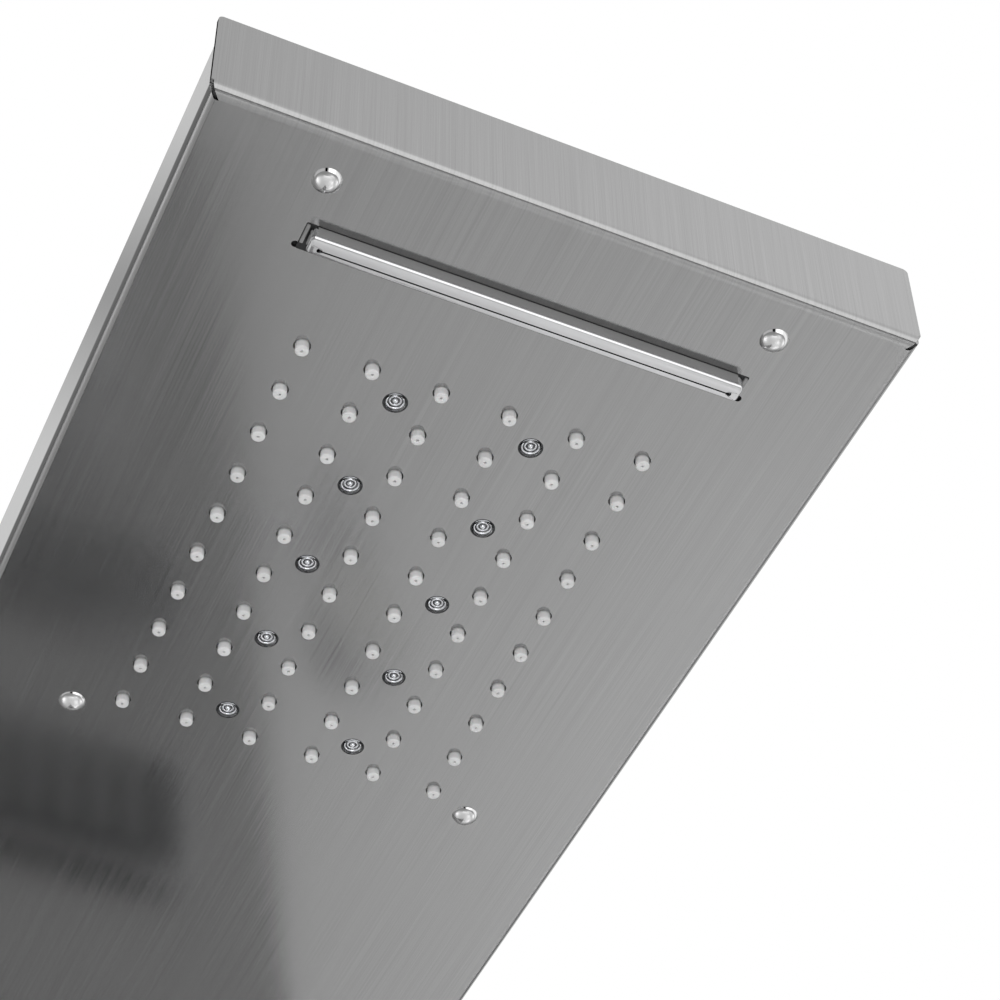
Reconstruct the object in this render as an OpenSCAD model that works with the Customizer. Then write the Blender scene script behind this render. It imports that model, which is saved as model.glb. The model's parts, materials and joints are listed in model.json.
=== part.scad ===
// Shower panel column: a bent steel panel with a rain head, hung on the wall, and its valves,
// sprays, hand shower and hoses.
// Millimetres. X runs to the right of a person who faces the wall, Y into the wall and Z up.
// The origin is on the wall's face, at the centre of the four fixing holes.

/* [Panel] */
// Width of the bent panel
panel_w = 200; // [196:1:230]
// Thickness of the sheet
sheet_t = 1.2; // [1:0.1:1.8]
// Height of the column, from its bottom to the line where its face would meet the head's
column_h = 1120; // [1110:1:1200]
// Depth of the column, from the wall to its face
column_d = 48; // [47:0.5:56]
// Length of the head, from that line to its front edge
head_len = 443; // [430:1:500]
// Rise of the head towards its front, in degrees
head_tilt = 15; // [12:1:24]
// Radius of the bend between column and head, on the user's side
bend_r = 60; // [45:1:75]
// Depth of the head's sides at its front
side_front = 19.5; // [17:0.5:24]
// Depth of the head's sides at the line where head and column meet
side_back = 35; // [34:0.5:42]
// Height of the upturned front lip
lip_h = 32.5; // [26:0.5:38]
// Outer radius of the bends at the two lips
lip_r = 3; // [2.5:0.1:4]
// Depth of the turned-in bottom lip
bottom_lip = 38; // [38:0.5:44]
// Radius of the lips' free corners
lip_corner_r = 1.5; // [1:0.1:4]
// Radius of the relief holes where a lip's bend meets a side's bend
notch_r = 1.6; // [1.4:0.1:2]

/* [Rain nozzles] */
// Nozzles across the head
nozzle_cols = 6; // [6:2:6]
// Nozzles along the head
nozzle_rows = 10; // [6:2:10]
// Distance between nozzles across the head
col_pitch = 20; // [19:0.1:21]
// Distance between nozzles along the head
row_pitch = 16.1; // [16:0.1:19]
// Distance from the head's front edge to the first row
first_row = 66.3; // [64:0.1:70]
// Radius of a nozzle
nozzle_r = 1.95; // [1.7:0.05:2.1]
// Radius of the hole in the sheet for a nozzle
nozzle_hole_r = 2.2; // [2.15:0.05:2.6]
// Radius of a nozzle's wide bore
nozzle_bore_r = 1.2; // [0.9:0.05:1.4]
// Radius of a nozzle's jet hole
jet_hole_r = 0.35; // [0.25:0.05:0.5]
// Thickness of the rubber at a nozzle's tip
nozzle_tip_t = 0.8; // [0.6:0.1:1]
// Rounding of a nozzle's tip
nozzle_round_r = 0.5; // [0.3:0.05:0.7]
// How far the nozzles of the first row stand out of the sheet
nozzle_out_front = 2.4; // [1.8:0.1:4]
// How far the nozzles of the last row stand out of the sheet
nozzle_out_back = 2.1; // [1.2:0.1:4]
// Thickness of the nozzle mat
mat_t = 2; // [1.5:0.1:2.5]

/* [Lights] */
// Radius of a light's hole in the sheet
led_hole_r = 3.5; // [3:0.1:4]
// Radius of a lens flange behind the sheet
lens_flange_r = 4.8; // [4.4:0.1:5.2]
// Thickness of a lens flange
lens_flange_t = 1.2; // [1:0.1:1.4]
// How far a lens stands out of the sheet
lens_out = 0.7; // [0.3:0.1:1.2]
// Width of a circuit board
board_w = 10; // [9:0.1:10.6]
// Thickness of a circuit board
board_t = 1.6; // [1:0.1:2]
// Width of a light chip
chip_w = 4.5; // [3:0.1:5]
// Length of board past its first and last light
board_end = 10; // [8:0.5:11]
// Radius of a light's cable
led_cable_r = 1.5; // [1.2:0.1:1.8]

/* [Waterfall] */
// Length of the slot hole in the sheet
slot_len = 126.8; // [124:0.1:130]
// Width of the slot hole in the sheet
slot_w = 8.8; // [8.6:0.1:9.8]
// Distance from the head's front edge to the middle of the slot hole
slot_mid = 32.8; // [32:0.1:34]
// Length of the spout's mouthpiece
fall_len = 122.8; // [112:0.1:123]
// Width of the spout's mouthpiece
fall_w = 4.9; // [4.5:0.1:5.6]
// How far the mouthpiece stands out of the sheet
fall_out = 5.2; // [4:0.1:8]
// Gap between the hole's front edge and the mouthpiece
fall_gap = 1; // [0.6:0.1:1.5]
// Rounding of the mouthpiece's front edge and ends
fall_round_r = 1.5; // [0.8:0.1:2]
// Length of the outlet slit
slit_len = 118; // [100:0.5:119]
// Width of the outlet slit
slit_w = 0.5; // [0.4:0.05:1]
// Radius of the round ends of the slit
slit_end_r = 0.7; // [0.5:0.05:0.9]
// Distance from the mouthpiece's front face to the slit
slit_in = 3; // [2:0.1:3.4]
// Thickness of the spout's flange and of its seat in the duct
fall_flange_t = 2; // [1.5:0.1:3]
// Rim of the spout's flange around the slot hole
fall_rim = 4; // [3:0.1:5]
// Height of the duct over the spout
duct_h = 12; // [11:0.5:14]
// Wall of the duct
duct_wall = 2; // [1.5:0.1:2.5]

/* [Head screws] */
// Distance between the screws across the head
screw_span = 127; // [125:0.5:132]
// Distance from the head's front edge to the front screws
screw_front = 14.7; // [14:0.1:16]
// Distance from the head's front edge to the rear screws
screw_back = 218; // [217:0.1:219]
// Radius of a domed head
dome_r = 3.95; // [3.5:0.05:4.5]
// Height of a domed head
dome_h = 2.4; // [1.5:0.1:3]
// Radius of a head screw
head_screw_r = 2; // [1.5:0.1:2.2]
// Corner radius of a head screw's nut
head_nut_r = 4; // [3.6:0.1:4.4]
// Thickness of a head screw's nut
head_nut_t = 3.2; // [2:0.1:4]
// Thickness of the plastic ears under the nuts
ear_t = 4; // [3:0.1:5]
// Radius of the plastic ears
ear_r = 7; // [6:0.1:7.5]
// Radius of the spacers under the rear screws' nuts
spacer_r = 4.3; // [4.2:0.1:4.4]

/* [Rain chamber] */
// Margin of the chamber past the outer nozzles
chamber_margin = 9; // [8:0.1:10]
// Wall of the chamber
chamber_wall = 2.5; // [2:0.1:3]
// Floor of the chamber
chamber_floor = 2.5; // [2:0.1:3]
// Height of the chamber's walls
chamber_h = 10; // [9:0.5:12]
// Width of the dry channels for the boards
channel_w = 12; // [11.6:0.1:12.4]
// Height of the dry channels
channel_h = 4.5; // [4:0.1:5]
// Wall round the dry channels
channel_wall = 1.2; // [1:0.1:1.4]
// Thickness of the seal under the cover
seal_t = 1; // [0.6:0.1:1.5]
// Thickness of the cover
cover_t = 2.5; // [2:0.1:3]
// Distance from the last row to the cover's inlet
inlet_in = 10; // [8:0.5:14]
// Radius of the cover's inlet turret
turret_r = 9; // [8:0.1:10]
// Height of the cover's inlet turret
turret_h = 13; // [12.4:0.1:15]

/* [Generator] */
// Distance from the head's front edge to the generator
gen_at = 306; // [300:1:312]
// Outer radius of the generator's housing
gen_r = 20; // [18:0.5:22]
// Height of the generator's housing, without its lid
gen_h = 21; // [20:0.5:23]
// Wall of the generator's housing
gen_wall = 2; // [1.6:0.1:2.5]
// Radius over the turbine's vanes
turbine_r = 16.5; // [14:0.1:16.9]
// Height of the turbine's vanes
vane_h = 12; // [9:0.5:13]
// Thickness of a vane
vane_t = 1.2; // [1:0.1:1.6]
// Number of vanes
vanes = 8; // [6:1:12]
// Radius of the turbine's hub
hub_r = 3.5; // [3:0.1:5]
// Radius of the turbine's axle
axle_r = 1.5; // [1.2:0.1:2]

/* [Massage sprays] */
// Width of a spray's frame
spray_w = 113; // [106:1:118]
// Height of a spray's frame
spray_h = 90; // [86:1:96]
// Thickness of a spray's frame in front of the sheet
spray_frame_t = 8; // [6:0.5:10]
// Corner radius of a spray's frame
spray_corner_r = 8; // [5:0.5:10]
// Width of the tilting block
block_w = 84; // [80:0.5:86]
// Height of the tilting block
block_h = 60; // [54:0.5:62]
// Depth of the tilting block in front of its pivot
block_front = 17; // [15:0.5:18]
// Depth of the tilting block behind its pivot
block_back = 6; // [5:0.5:7]
// Distance from the wall to a spray's pivot
spray_pivot_y = 40; // [38:0.5:40.5]
// Gap round the tilting block at rest
block_gap = 0.5; // [0.4:0.1:1]
// Room above and below the tilting block for its tilt
block_room = 4; // [3.8:0.1:6]
// Side walls of a spray's housing
spray_wall = 4; // [3.5:0.1:5]
// Rear wall of a spray's housing
spray_rear = 3; // [2.5:0.1:4]
// Radius of the hollow pivots
trunnion_r = 3; // [2.5:0.1:3.5]
// Radius of the pivots' bores
trunnion_bore_r = 1.5; // [1:0.1:2]
// Length of a pivot in its wall
trunnion_len = 3; // [2:0.1:3.2]
// Tilt of a spray to either side, in degrees
spray_tilt = 12; // [6:1:12]
// Height of the upper spray above the fixings' centre
spray_upper_z = 331; // [316:1:334]
// Height of the lower spray above the fixings' centre
spray_lower_z = 130; // [100:1:140]
// Radius of a spray's nozzle
spray_nozzle_r = 2.6; // [2:0.1:3]
// How far a spray's nozzle stands out of its block
spray_nozzle_out = 2; // [1:0.1:3]
// Depth of a spray's nozzle in its block
spray_nozzle_in = 3; // [2:0.1:4]
// Distance between a spray's nozzles
spray_pitch = 15; // [13:0.5:16]
// Radius of the studs that hold a spray
stud_r = 2; // [1.5:0.1:2.5]
// Corner radius of a stud's nut
stud_nut_r = 3.8; // [3.4:0.1:4.2]
// Thickness of a stud's nut
stud_nut_t = 3.2; // [2.5:0.1:4]

/* [Diverter] */
// Height of the diverter above the fixings' centre
diverter_z = -50; // [-60:1:-40]
// Radius of the diverter's body behind the sheet
diverter_r = 25; // [23:0.5:27]
// Radius of the diverter's threaded neck
diverter_neck_r = 17.8; // [17:0.1:18.5]
// Radius of the neck's bore
diverter_bore_r = 14.5; // [13:0.1:15]
// Radius of the spindle
spindle_r = 5; // [4:0.1:6]
// Radius of the spindle's ceramic disc
disc_r = 13.8; // [12:0.1:14]
// Thickness of the spindle's ceramic disc
disc_t = 5; // [4:0.1:6]
// Outer radius of the diverter's collar
diverter_collar_r = 26; // [24:0.5:28]
// Radius of the diverter's knob
knob_r = 21; // [18:0.5:23]
// Length of the diverter's knob
knob_l = 24; // [20:0.5:28]
// Flutes round the knob
knob_flutes = 12; // [8:1:16]
// Radius of a flute
flute_r = 3; // [2:0.1:3.5]

/* [Mixer] */
// Height of the mixer above the fixings' centre
mixer_z = -200; // [-210:1:-190]
// Radius of the mixer's body behind the sheet
mixer_r = 27; // [25:0.5:29]
// Radius of the mixer's threaded neck
mixer_neck_r = 20; // [19.5:0.1:20.5]
// Radius of the cartridge
cartridge_r = 17.5; // [17:0.1:17.8]
// Outer radius of the mixer's collar
mixer_collar_r = 30; // [28:0.5:32]
// Radius of the turning cap
cap_r = 22; // [20:0.5:24]
// Length of the turning cap
cap_l = 25; // [23:0.5:28]
// Radius of the lever's hub
lever_hub_r = 6.5; // [6:0.1:7]
// Width of the lever
lever_w = 13; // [12:0.5:15]
// Thickness of the lever
lever_t = 6; // [5:0.1:7]
// Length of the lever from its pin
lever_len = 95; // [80:1:105]
// Radius of the lever's pin
pin_r = 2.5; // [2:0.1:3]
// Distance from the mixer's middle to a supply inlet
inlet_x = 56; // [52:0.5:58]
// Radius of an inlet's elbow
elbow_r = 11.5; // [11.2:0.1:12]

/* [Valve bodies] */
// Thickness of the chrome collars in front of the sheet
collar_t = 12; // [10:0.5:13]
// Radius of the hose ports
port_r = 6; // [5.5:0.1:6]
// Radius of the ports' bores
port_bore_r = 4; // [3:0.1:4.5]
// Length of a hose port
port_l = 14; // [12:0.5:16]
// Distance from the wall to the hoses and ports
port_y = 15; // [14:0.5:15.5]
// Distance from the wall to the back of the valve bodies
valve_back = 8; // [6:0.5:8.5]

/* [Threads] */
// Outer radius of the half-inch pipe threads
thread_r = 10.48; // [10.2:0.01:10.8]
// Length of the half-inch pipe threads
thread_l = 12; // [10:0.5:14]

/* [Tub spout] */
// Height of the tub spout above the fixings' centre
spout_z = -440; // [-450:1:-430]
// Width of the tub spout
spout_w = 44; // [38:1:50]
// Thickness of the tub spout
spout_t = 24; // [22:0.5:28]
// Reach of the tub spout from the panel's face
spout_l = 130; // [110:1:150]
// Radius of the spout's rose
rose_r = 27; // [25:0.5:30]
// Thickness of the rose
rose_t = 4; // [3:0.1:5]
// Thickness of the rubber seal behind the rose
rose_seal_t = 1.5; // [1:0.1:2]
// Radius of the spout's threaded tail
tail_r = 10; // [9:0.1:11]
// Corner radius of the tail's nut
tail_nut_r = 16; // [15:0.5:18]
// Thickness of the tail's nut
tail_nut_t = 8; // [6:0.5:9]
// Radius of the flow straightener
aerator_r = 9; // [8:0.1:9.5]
// Height of the flow straightener
aerator_h = 8; // [7:0.1:9]

/* [Hand shower] */
// Distance from the panel's middle to the hand shower's axis
hand_x = 150; // [148:0.5:154]
// Distance from the wall to the hand shower's axis
hand_y = 52; // [50:0.5:56]
// Width of the spray head
hand_w = 40; // [36:1:44]
// Height of the spray head
hand_h = 100; // [90:1:110]
// Depth of the spray head
hand_d = 24; // [22:0.5:26]
// Height of the spray head's middle above the fixings' centre
hand_z = 105; // [98:1:112]
// Upper radius of the handle's seat cone
seat_top_r = 12.3; // [12:0.1:13]
// Lower radius of the handle's seat cone
seat_low_r = 11; // [10.9:0.1:11.2]
// Height of the cradle and its seat
cradle_h = 28; // [24:0.5:30]
// Wall of the cradle
cradle_wall = 4.5; // [4:0.1:5]
// Opening at the cradle's front
cradle_slot = 15; // [12:0.5:16]
// Height of the cradle's pivot above the fixings' centre
holder_z = 20; // [15:1:25]
// Length of the handle under the cradle
handle_low = 54; // [40:1:60]
// Radius of the holder's pivot
holder_pin_r = 3; // [2.5:0.1:3.5]
// Radius of the holder's arm
arm_r = 10; // [9:0.5:11]
// Reach of the holder's arm from the panel's side
arm_l = 20; // [18:0.5:21]

/* [Hose outlet] */
// Distance from the panel's middle to the hand shower's hose outlet
outlet_x = 60; // [55:0.5:65]
// Distance from the wall to the outlet's middle
outlet_y = 27; // [25:0.5:28]
// Radius of the outlet's stem
stem_r = 9; // [8:0.1:9.5]
// Radius of the outlet's shoulder
shoulder_r = 14; // [12.5:0.1:15]
// Thickness of the outlet's shoulder
shoulder_t = 4; // [3:0.1:5]

/* [Wall brackets] */
// Distance between the fixing holes across the wall
fixing_x = 120; // [110:1:130]
// Distance between the fixing holes up the wall
fixing_z = 800; // [780:1:820]
// Radius of the fixing holes
fixing_r = 3.25; // [2.5:0.05:4]
// Thickness of the brackets
bracket_t = 2; // [1.5:0.1:3]
// Height of a bracket
bracket_h = 36; // [30:1:42]
// Depth of a bracket's ears
bracket_d = 26; // [22:0.5:30]
// Radius of the side screws
side_screw_r = 2.5; // [2:0.1:3]
// Radius of the side screws' heads
side_head_r = 4.5; // [4:0.1:5]
// Height of the side screws' heads
side_head_h = 2.5; // [1.5:0.1:3]
// Length of the side screws behind the sheet
side_screw_l = 6; // [4:0.5:8]

/* [Hoses] */
// Radius of the hoses
hose_r = 6; // [5:0.1:6]
// Radius of the hoses' bends at their middle
hose_bend = 14; // [13:0.5:16]
// Distance from the panel's middle to the long side hoses
hose_x = 79; // [78:0.5:82]

/* [Clearances] */
// Gap between pieces that fit into each other
fit = 0.1; // [0.08:0.01:0.15]
// Running clearance round a pin or shaft
run = 0.05; // [0.03:0.01:0.08]
// Gap between surfaces that move past each other
gap = 0.3; // [0.3:0.05:0.4]
// Overrun of the cuts
over = 1; // [0.6:0.1:1.5]

/* [Hidden] */
$fn = 48;

half_w = panel_w / 2;
face_y = -column_d;
inner_y = face_y + sheet_t;
junction_z = column_h / 2;
bottom_z = junction_z - column_h;
bend_turn = 90 - head_tilt;
bend_tan = bend_r * tan(bend_turn / 2);
side_slope = (side_back - side_front) / head_len;
// Where the head's free edge meets the wall, behind the junction line
edge_meet = (column_d - side_back * sin(head_tilt)) / (cos(head_tilt) + side_slope * sin(head_tilt));
edge_meet_z = junction_z - edge_meet * sin(head_tilt)
    + (side_back + side_slope * edge_meet) * cos(head_tilt);
hose_y = -port_y;
back_y = -valve_back;

// A point of the head in the panel's frame: across, from the front edge, above the face
function head_point(x, f, t) = [x,
    face_y + (f - head_len) * cos(head_tilt) + t * sin(head_tilt),
    junction_z - (f - head_len) * sin(head_tilt) + t * cos(head_tilt)];
function nozzle_x(i) = (i - (nozzle_cols - 1) / 2) * col_pitch;
function nozzle_f(j) = first_row + j * row_pitch;
function nozzle_out(j) = nozzle_out_front
    + (nozzle_out_back - nozzle_out_front) * j / (nozzle_rows - 1);
last_row = nozzle_f(nozzle_rows - 1);
led_cols = [for (i = [1, nozzle_cols - 3]) (nozzle_x(i) + nozzle_x(i + 1)) / 2];
led_rows = [for (j = [0:2:nozzle_rows - 1]) (nozzle_f(j) + nozzle_f(j + 1)) / 2];
board_ends = [led_rows[0] - board_end, led_rows[len(led_rows) - 1] + board_end];

// Shapes along the axes
module x_rod(r, x0, x1) { translate([x0, 0, 0]) rotate([0, 90, 0]) cylinder(r = r, h = x1 - x0); }
module y_rod(r, y0, y1) { translate([0, y0, 0]) rotate([-90, 0, 0]) cylinder(r = r, h = y1 - y0); }
module z_rod(r, z0, z1) { translate([0, 0, z0]) cylinder(r = r, h = z1 - z0); }
module block(low, high) { translate(low) cube(high - low); }
// Draws a side view, given as Y and Z, across the panel
module across(x0, x1) { translate([x0, 0, 0]) rotate([90, 0, 90]) linear_extrude(x1 - x0) children(); }
// Draws a front view, given as X and Z, into the wall
module inward(y0, y1) { translate([0, y1, 0]) rotate([90, 0, 0]) linear_extrude(y1 - y0) children(); }
module upward(z0, z1) { translate([0, 0, z0]) linear_extrude(z1 - z0) children(); }
module plate(w, h, r) {
    square([w - 2 * r, h], center = true);
    square([w, h - 2 * r], center = true);
    for (a = [-1, 1], b = [-1, 1]) translate([a * (w / 2 - r), b * (h / 2 - r)]) circle(r);
}
module on_head(f, t = 0) {
    translate([0, face_y, junction_z]) rotate([-head_tilt, 0, 0])
        translate([0, f - head_len, t]) children();
}
module nozzle_places() {
    for (i = [0:nozzle_cols - 1], j = [0:nozzle_rows - 1])
        translate([nozzle_x(i), nozzle_f(j)]) children();
}
module led_places() { for (x = led_cols, f = led_rows) translate([x, f]) children(); }
module screw_places(rows) { for (f = rows, a = [-1, 1]) translate([a * screw_span / 2, f]) children(); }

// A round tube through corner points, with equal bends, swept ring by ring
function unit(v) = v / norm(v);
function turn_at(p, i) = acos(unit(p[i] - p[i - 1]) * unit(p[i + 1] - p[i]));
function bend_points(p, i, b) = let (
    u = unit(p[i] - p[i - 1]), v = unit(p[i + 1] - p[i]), turn = turn_at(p, i),
    c = p[i] + unit(v - u) * b / cos(turn / 2), e = unit(p[i] - u * b * tan(turn / 2) - c),
    steps = ceil(turn / bend_step))
    [for (k = [0:steps]) c + b * (e * cos(turn * k / steps) + u * sin(turn * k / steps))];
function route_points(p, b) = concat([p[0]],
    [for (i = [1:1:len(p) - 2]) each bend_points(p, i, b)], [p[len(p) - 1]]);
function heading(q, i) = i == 0 ? unit(q[1] - q[0]) : i == len(q) - 1 ? unit(q[i] - q[i - 1])
    : unit(unit(q[i + 1] - q[i]) + unit(q[i] - q[i - 1]));
function upright(n, d) = unit(n - (n * d) * d);
module tube_route(p, r, b) {
    q = route_points(p, b);
    first = heading(q, 0);
    side = abs(first[0]) < cos(45) ? [1, 0, 0] : [0, 1, 0];
    normals = [for (i = 0, n = upright(side, first); i < len(q);
        i = i + 1, n = i < len(q) ? upright(n, heading(q, i)) : n) n];
    rings = [for (i = [0:len(q) - 1]) let (n = normals[i], m = cross(heading(q, i), n))
        for (k = [0:tube_sides - 1]) q[i] + r * (n * cos(k * 360 / tube_sides) + m * sin(k * 360 / tube_sides))];
    last = (len(q) - 1) * tube_sides;
    polyhedron(rings, concat(
        [[for (k = [0:tube_sides - 1]) k]], [[for (k = [tube_sides - 1:-1:0]) last + k]],
        [for (i = [0:len(q) - 2], k = [0:tube_sides - 1], h = [0, 1]) let (
            a = i * tube_sides + k, b = i * tube_sides + (k + 1) % tube_sides)
            h == 0 ? [a, a + tube_sides, b] : [b, a + tube_sides, b + tube_sides]]));
}
tube_sides = 12;
bend_step = 18;

// Panel
// Stations of the sheet's front face, seen from the side: a place in Y and Z, then the
// direction from there into the sheet
function head_side(f, t, nf, nt) = concat(
    [for (k = [1, 2]) head_point(0, f, t)[k]],
    [nf * cos(head_tilt) + nt * sin(head_tilt), nt * cos(head_tilt) - nf * sin(head_tilt)]);
bend_steps = 20;
lip_step = 15;
bottom_stations = concat([[face_y + bottom_lip, bottom_z, 0, 1]],
    [for (a = [270:-lip_step:180]) [face_y + lip_r + lip_r * cos(a), bottom_z + lip_r + lip_r * sin(a),
        -cos(a), -sin(a)]]);
bend_stations = [for (k = [0:bend_steps]) let (a = bend_turn * k / bend_steps)
    [face_y - bend_r + bend_r * cos(a), junction_z - bend_tan + bend_r * sin(a), cos(a), sin(a)]];
front_stations = concat([for (a = [0:lip_step:90])
    head_side(lip_r - lip_r * sin(a), lip_r - lip_r * cos(a), sin(a), cos(a))],
    [head_side(0, lip_h, 1, 0)]);
module band(stations) {
    polygon(concat([for (s = stations) [s[0], s[1]]],
        [for (i = [len(stations) - 1:-1:0]) let (s = stations[i])
            [s[0] + sheet_t * s[2], s[1] + sheet_t * s[3]]]));
}
// The outline of a side, from the middle of the front sheet to the wall and the free edge
module side_outline() {
    mid = sheet_t / 2;
    wall_z = edge_meet_z;
    polygon(concat(
        [[face_y + mid, bottom_z + mid]],
        [for (s = bend_stations) [s[0] + mid * s[2], s[1] + mid * s[3]]],
        [[for (k = [1, 2]) head_point(0, mid, mid)[k]],
        [for (k = [1, 2]) head_point(0, mid, side_front + mid * side_slope)[k]],
        [0, wall_z], [0, bottom_z + mid]]));
}
module lip_corner(h) {
    translate([half_w, 0, h]) inward(-lip_r - over, over) difference() {
        square(2 * lip_corner_r, center = true);
        translate([-lip_corner_r, -lip_corner_r]) circle(lip_corner_r);
    }
}
module relief_hole() {
    translate([half_w - notch_r, 0, notch_r]) y_rod(notch_r, -lip_r - over, over);
    block([half_w - notch_r, -lip_r - over, -over], [half_w + over, over, 2 * notch_r]);
}
module at_bottom() {
    translate([0, face_y, bottom_z + lip_r]) rotate([90, 0, 180]) children();
}
module both_sides() { for (a = [0, 1]) mirror([a, 0, 0]) children(); }
module panel_shell() {
    color("#b9bbbd") difference() {
        union() {
            across(-half_w, half_w) band(concat(bottom_stations, bend_stations, front_stations));
            for (x = [-half_w, half_w - sheet_t]) across(x, x + sheet_t) side_outline();
        }
        both_sides() {
            on_head(lip_r) {
                relief_hole();
                lip_corner(lip_h);
            }
            at_bottom() {
                relief_hole();
                lip_corner(bottom_lip);
            }
        }
        on_head(0) upward(-over, sheet_t + over) {
            nozzle_places() circle(nozzle_hole_r, $fn = 24);
            led_places() circle(led_hole_r);
            screw_places([screw_front, screw_back]) circle(head_screw_r + fit);
            translate([0, slot_mid]) square([slot_len, slot_w], center = true);
        }
        inward(face_y - over, inner_y + over) {
            for (z = [spray_upper_z, spray_lower_z]) translate([0, z]) {
                square([spray_in_w + 2 * fit, spray_in_h + 2 * fit], center = true);
                stud_places() circle(stud_r + fit);
            }
            translate([0, diverter_z]) circle(diverter_neck_r + fit);
            translate([0, mixer_z]) circle(mixer_neck_r + fit);
            translate([0, spout_z]) circle(tail_r + fit);
        }
        translate([outlet_x, -outlet_y, bottom_z]) z_rod(stem_r + fit, -over, sheet_t + over);
        side_screw_places() x_rod(side_screw_r + fit, -over - sheet_t, over);
        holder_screw_places() x_rod(side_screw_r + fit, -over - sheet_t, over);
    }
}

// Rain nozzles
module nozzle(out) {
    reach = sheet_t + out;
    translate([0, 0, sheet_t]) rotate_extrude($fn = 24) {
        translate([nozzle_bore_r, nozzle_tip_t - reach])
            square([nozzle_r - nozzle_bore_r, reach - nozzle_tip_t]);
        translate([jet_hole_r, -reach])
            square([nozzle_r - nozzle_round_r - jet_hole_r, nozzle_tip_t]);
        translate([nozzle_r - nozzle_round_r, nozzle_round_r - reach])
            square([nozzle_round_r, nozzle_tip_t - nozzle_round_r]);
        intersection() {
            translate([nozzle_r - nozzle_round_r, nozzle_round_r - reach]) circle(nozzle_round_r);
            translate([nozzle_r - nozzle_round_r, -reach]) square(nozzle_round_r);
        }
    }
}
chamber_w = (nozzle_cols - 1) * col_pitch + 2 * chamber_margin;
chamber_l = (nozzle_rows - 1) * row_pitch + 2 * chamber_margin;
chamber_mid = (first_row + last_row) / 2;
mat_top = sheet_t + mat_t;
module nozzle_mat() {
    color("#dadcdc") on_head(0) {
        upward(sheet_t, mat_top) difference() {
            translate([0, chamber_mid]) plate(chamber_w, chamber_l, chamber_wall);
            nozzle_places() circle(nozzle_bore_r, $fn = 24);
            led_places() circle(lens_flange_r + fit);
        }
        for (i = [0:nozzle_cols - 1], j = [0:nozzle_rows - 1])
            translate([nozzle_x(i), nozzle_f(j), 0]) nozzle(nozzle_out(j));
    }
}

// Lights
module led_lenses() {
    color("#e8eef2") on_head(0) led_places() {
        z_rod(lens_flange_r, sheet_t, sheet_t + lens_flange_t);
        z_rod(led_hole_r - fit, -lens_out, sheet_t);
    }
}
module led_chips() {
    color("#f4e9a8") on_head(0) upward(sheet_t + lens_flange_t, mat_top)
        led_places() square(chip_w, center = true);
}
module led_boards() {
    color("#2f6b45") on_head(0) upward(mat_top, mat_top + board_t)
        for (x = led_cols) translate([x - board_w / 2, board_ends[0]])
            square([board_w, board_ends[1] - board_ends[0]]);
}
module led_cables() {
    t = mat_top + led_cable_r + fit;
    lid_t = gen_top + gen_wall + led_cable_r + fit;
    color("#202224") for (x = led_cols) tube_route([
        head_point(x, board_ends[1], t), head_point(x, gen_at - 2 * gen_r, t),
        head_point(x / 2, gen_at - gen_r, lid_t), head_point(x / 4, gen_at - gen_r / 2, lid_t)],
        led_cable_r, 4 * led_cable_r);
}

// Waterfall
fall_f = [slot_mid - slot_w / 2 + fall_gap, slot_mid - slot_w / 2 + fall_gap + fall_w];
slit_f = fall_f[0] + slit_in;
seat_t = sheet_t + fall_flange_t;
duct_f = [fall_f[0] - fall_rim, slot_mid + slot_w / 2 + fall_rim];
duct_x = [-slot_len / 2 - fall_rim, hose_x + hose_r + duct_wall];
duct_port_t = seat_t + duct_h / 2;
module slit(t0, t1) {
    upward(t0, t1) translate([0, slit_f]) {
        square([slit_len - 2 * slit_end_r, slit_w], center = true);
        for (a = [-1, 1]) translate([a * (slit_len / 2 - slit_end_r), 0]) circle(slit_end_r);
    }
}
module waterfall_spout() {
    color("#c9ccd0") on_head(0) difference() {
        union() {
            upward(sheet_t, seat_t) translate([0, slot_mid])
                plate(slot_len + 2 * fall_rim, slot_w + 2 * fall_rim, fall_rim);
            intersection() {
                across(-fall_len / 2, fall_len / 2) {
                    translate([fall_f[0], fall_round_r - fall_out])
                        square([fall_w, fall_out - fall_round_r + sheet_t]);
                    translate([fall_f[0] + fall_round_r, -fall_out])
                        square([fall_w - fall_round_r, fall_out]);
                    translate([fall_f[0] + fall_round_r, fall_round_r - fall_out])
                        circle(fall_round_r);
                }
                inward(fall_f[0] - over, fall_f[1] + over) translate([0, sheet_t])
                    plate(fall_len, 2 * (fall_out + sheet_t), fall_round_r);
            }
        }
        slit(-fall_out - over, seat_t + over);
    }
}
module waterfall_duct() {
    color("#2b2d30") on_head(0) difference() {
        union() {
            block([duct_x[0], duct_f[0], seat_t], [duct_x[1], duct_f[1], seat_t + duct_h]);
            for (a = [-1, 1]) translate([a * screw_span / 2, 0]) {
                translate([0, screw_front]) z_rod(ear_r, sheet_t, sheet_t + ear_t);
                block([-ear_r, screw_front, seat_t], [ear_r, duct_f[0], sheet_t + ear_t]);
            }
            translate([hose_x, 0, duct_port_t]) y_rod(port_r, duct_f[1], duct_f[1] + port_l);
        }
        block([duct_x[0] + duct_wall, duct_f[0] + duct_wall, seat_t - over],
            [slot_len / 2 - fall_rim, duct_f[1] - duct_wall, seat_t + duct_h - duct_wall]);
        block([0, duct_f[0] + duct_wall, seat_t + duct_wall],
            [duct_x[1] - duct_wall, duct_f[1] - duct_wall, seat_t + duct_h - duct_wall]);
        translate([hose_x, 0, duct_port_t])
            y_rod(port_bore_r, duct_f[1] - duct_wall - over, duct_f[1] + port_l + over);
        screw_places([screw_front]) z_rod(head_screw_r + fit, 0, sheet_t + ear_t + over);
    }
}

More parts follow.
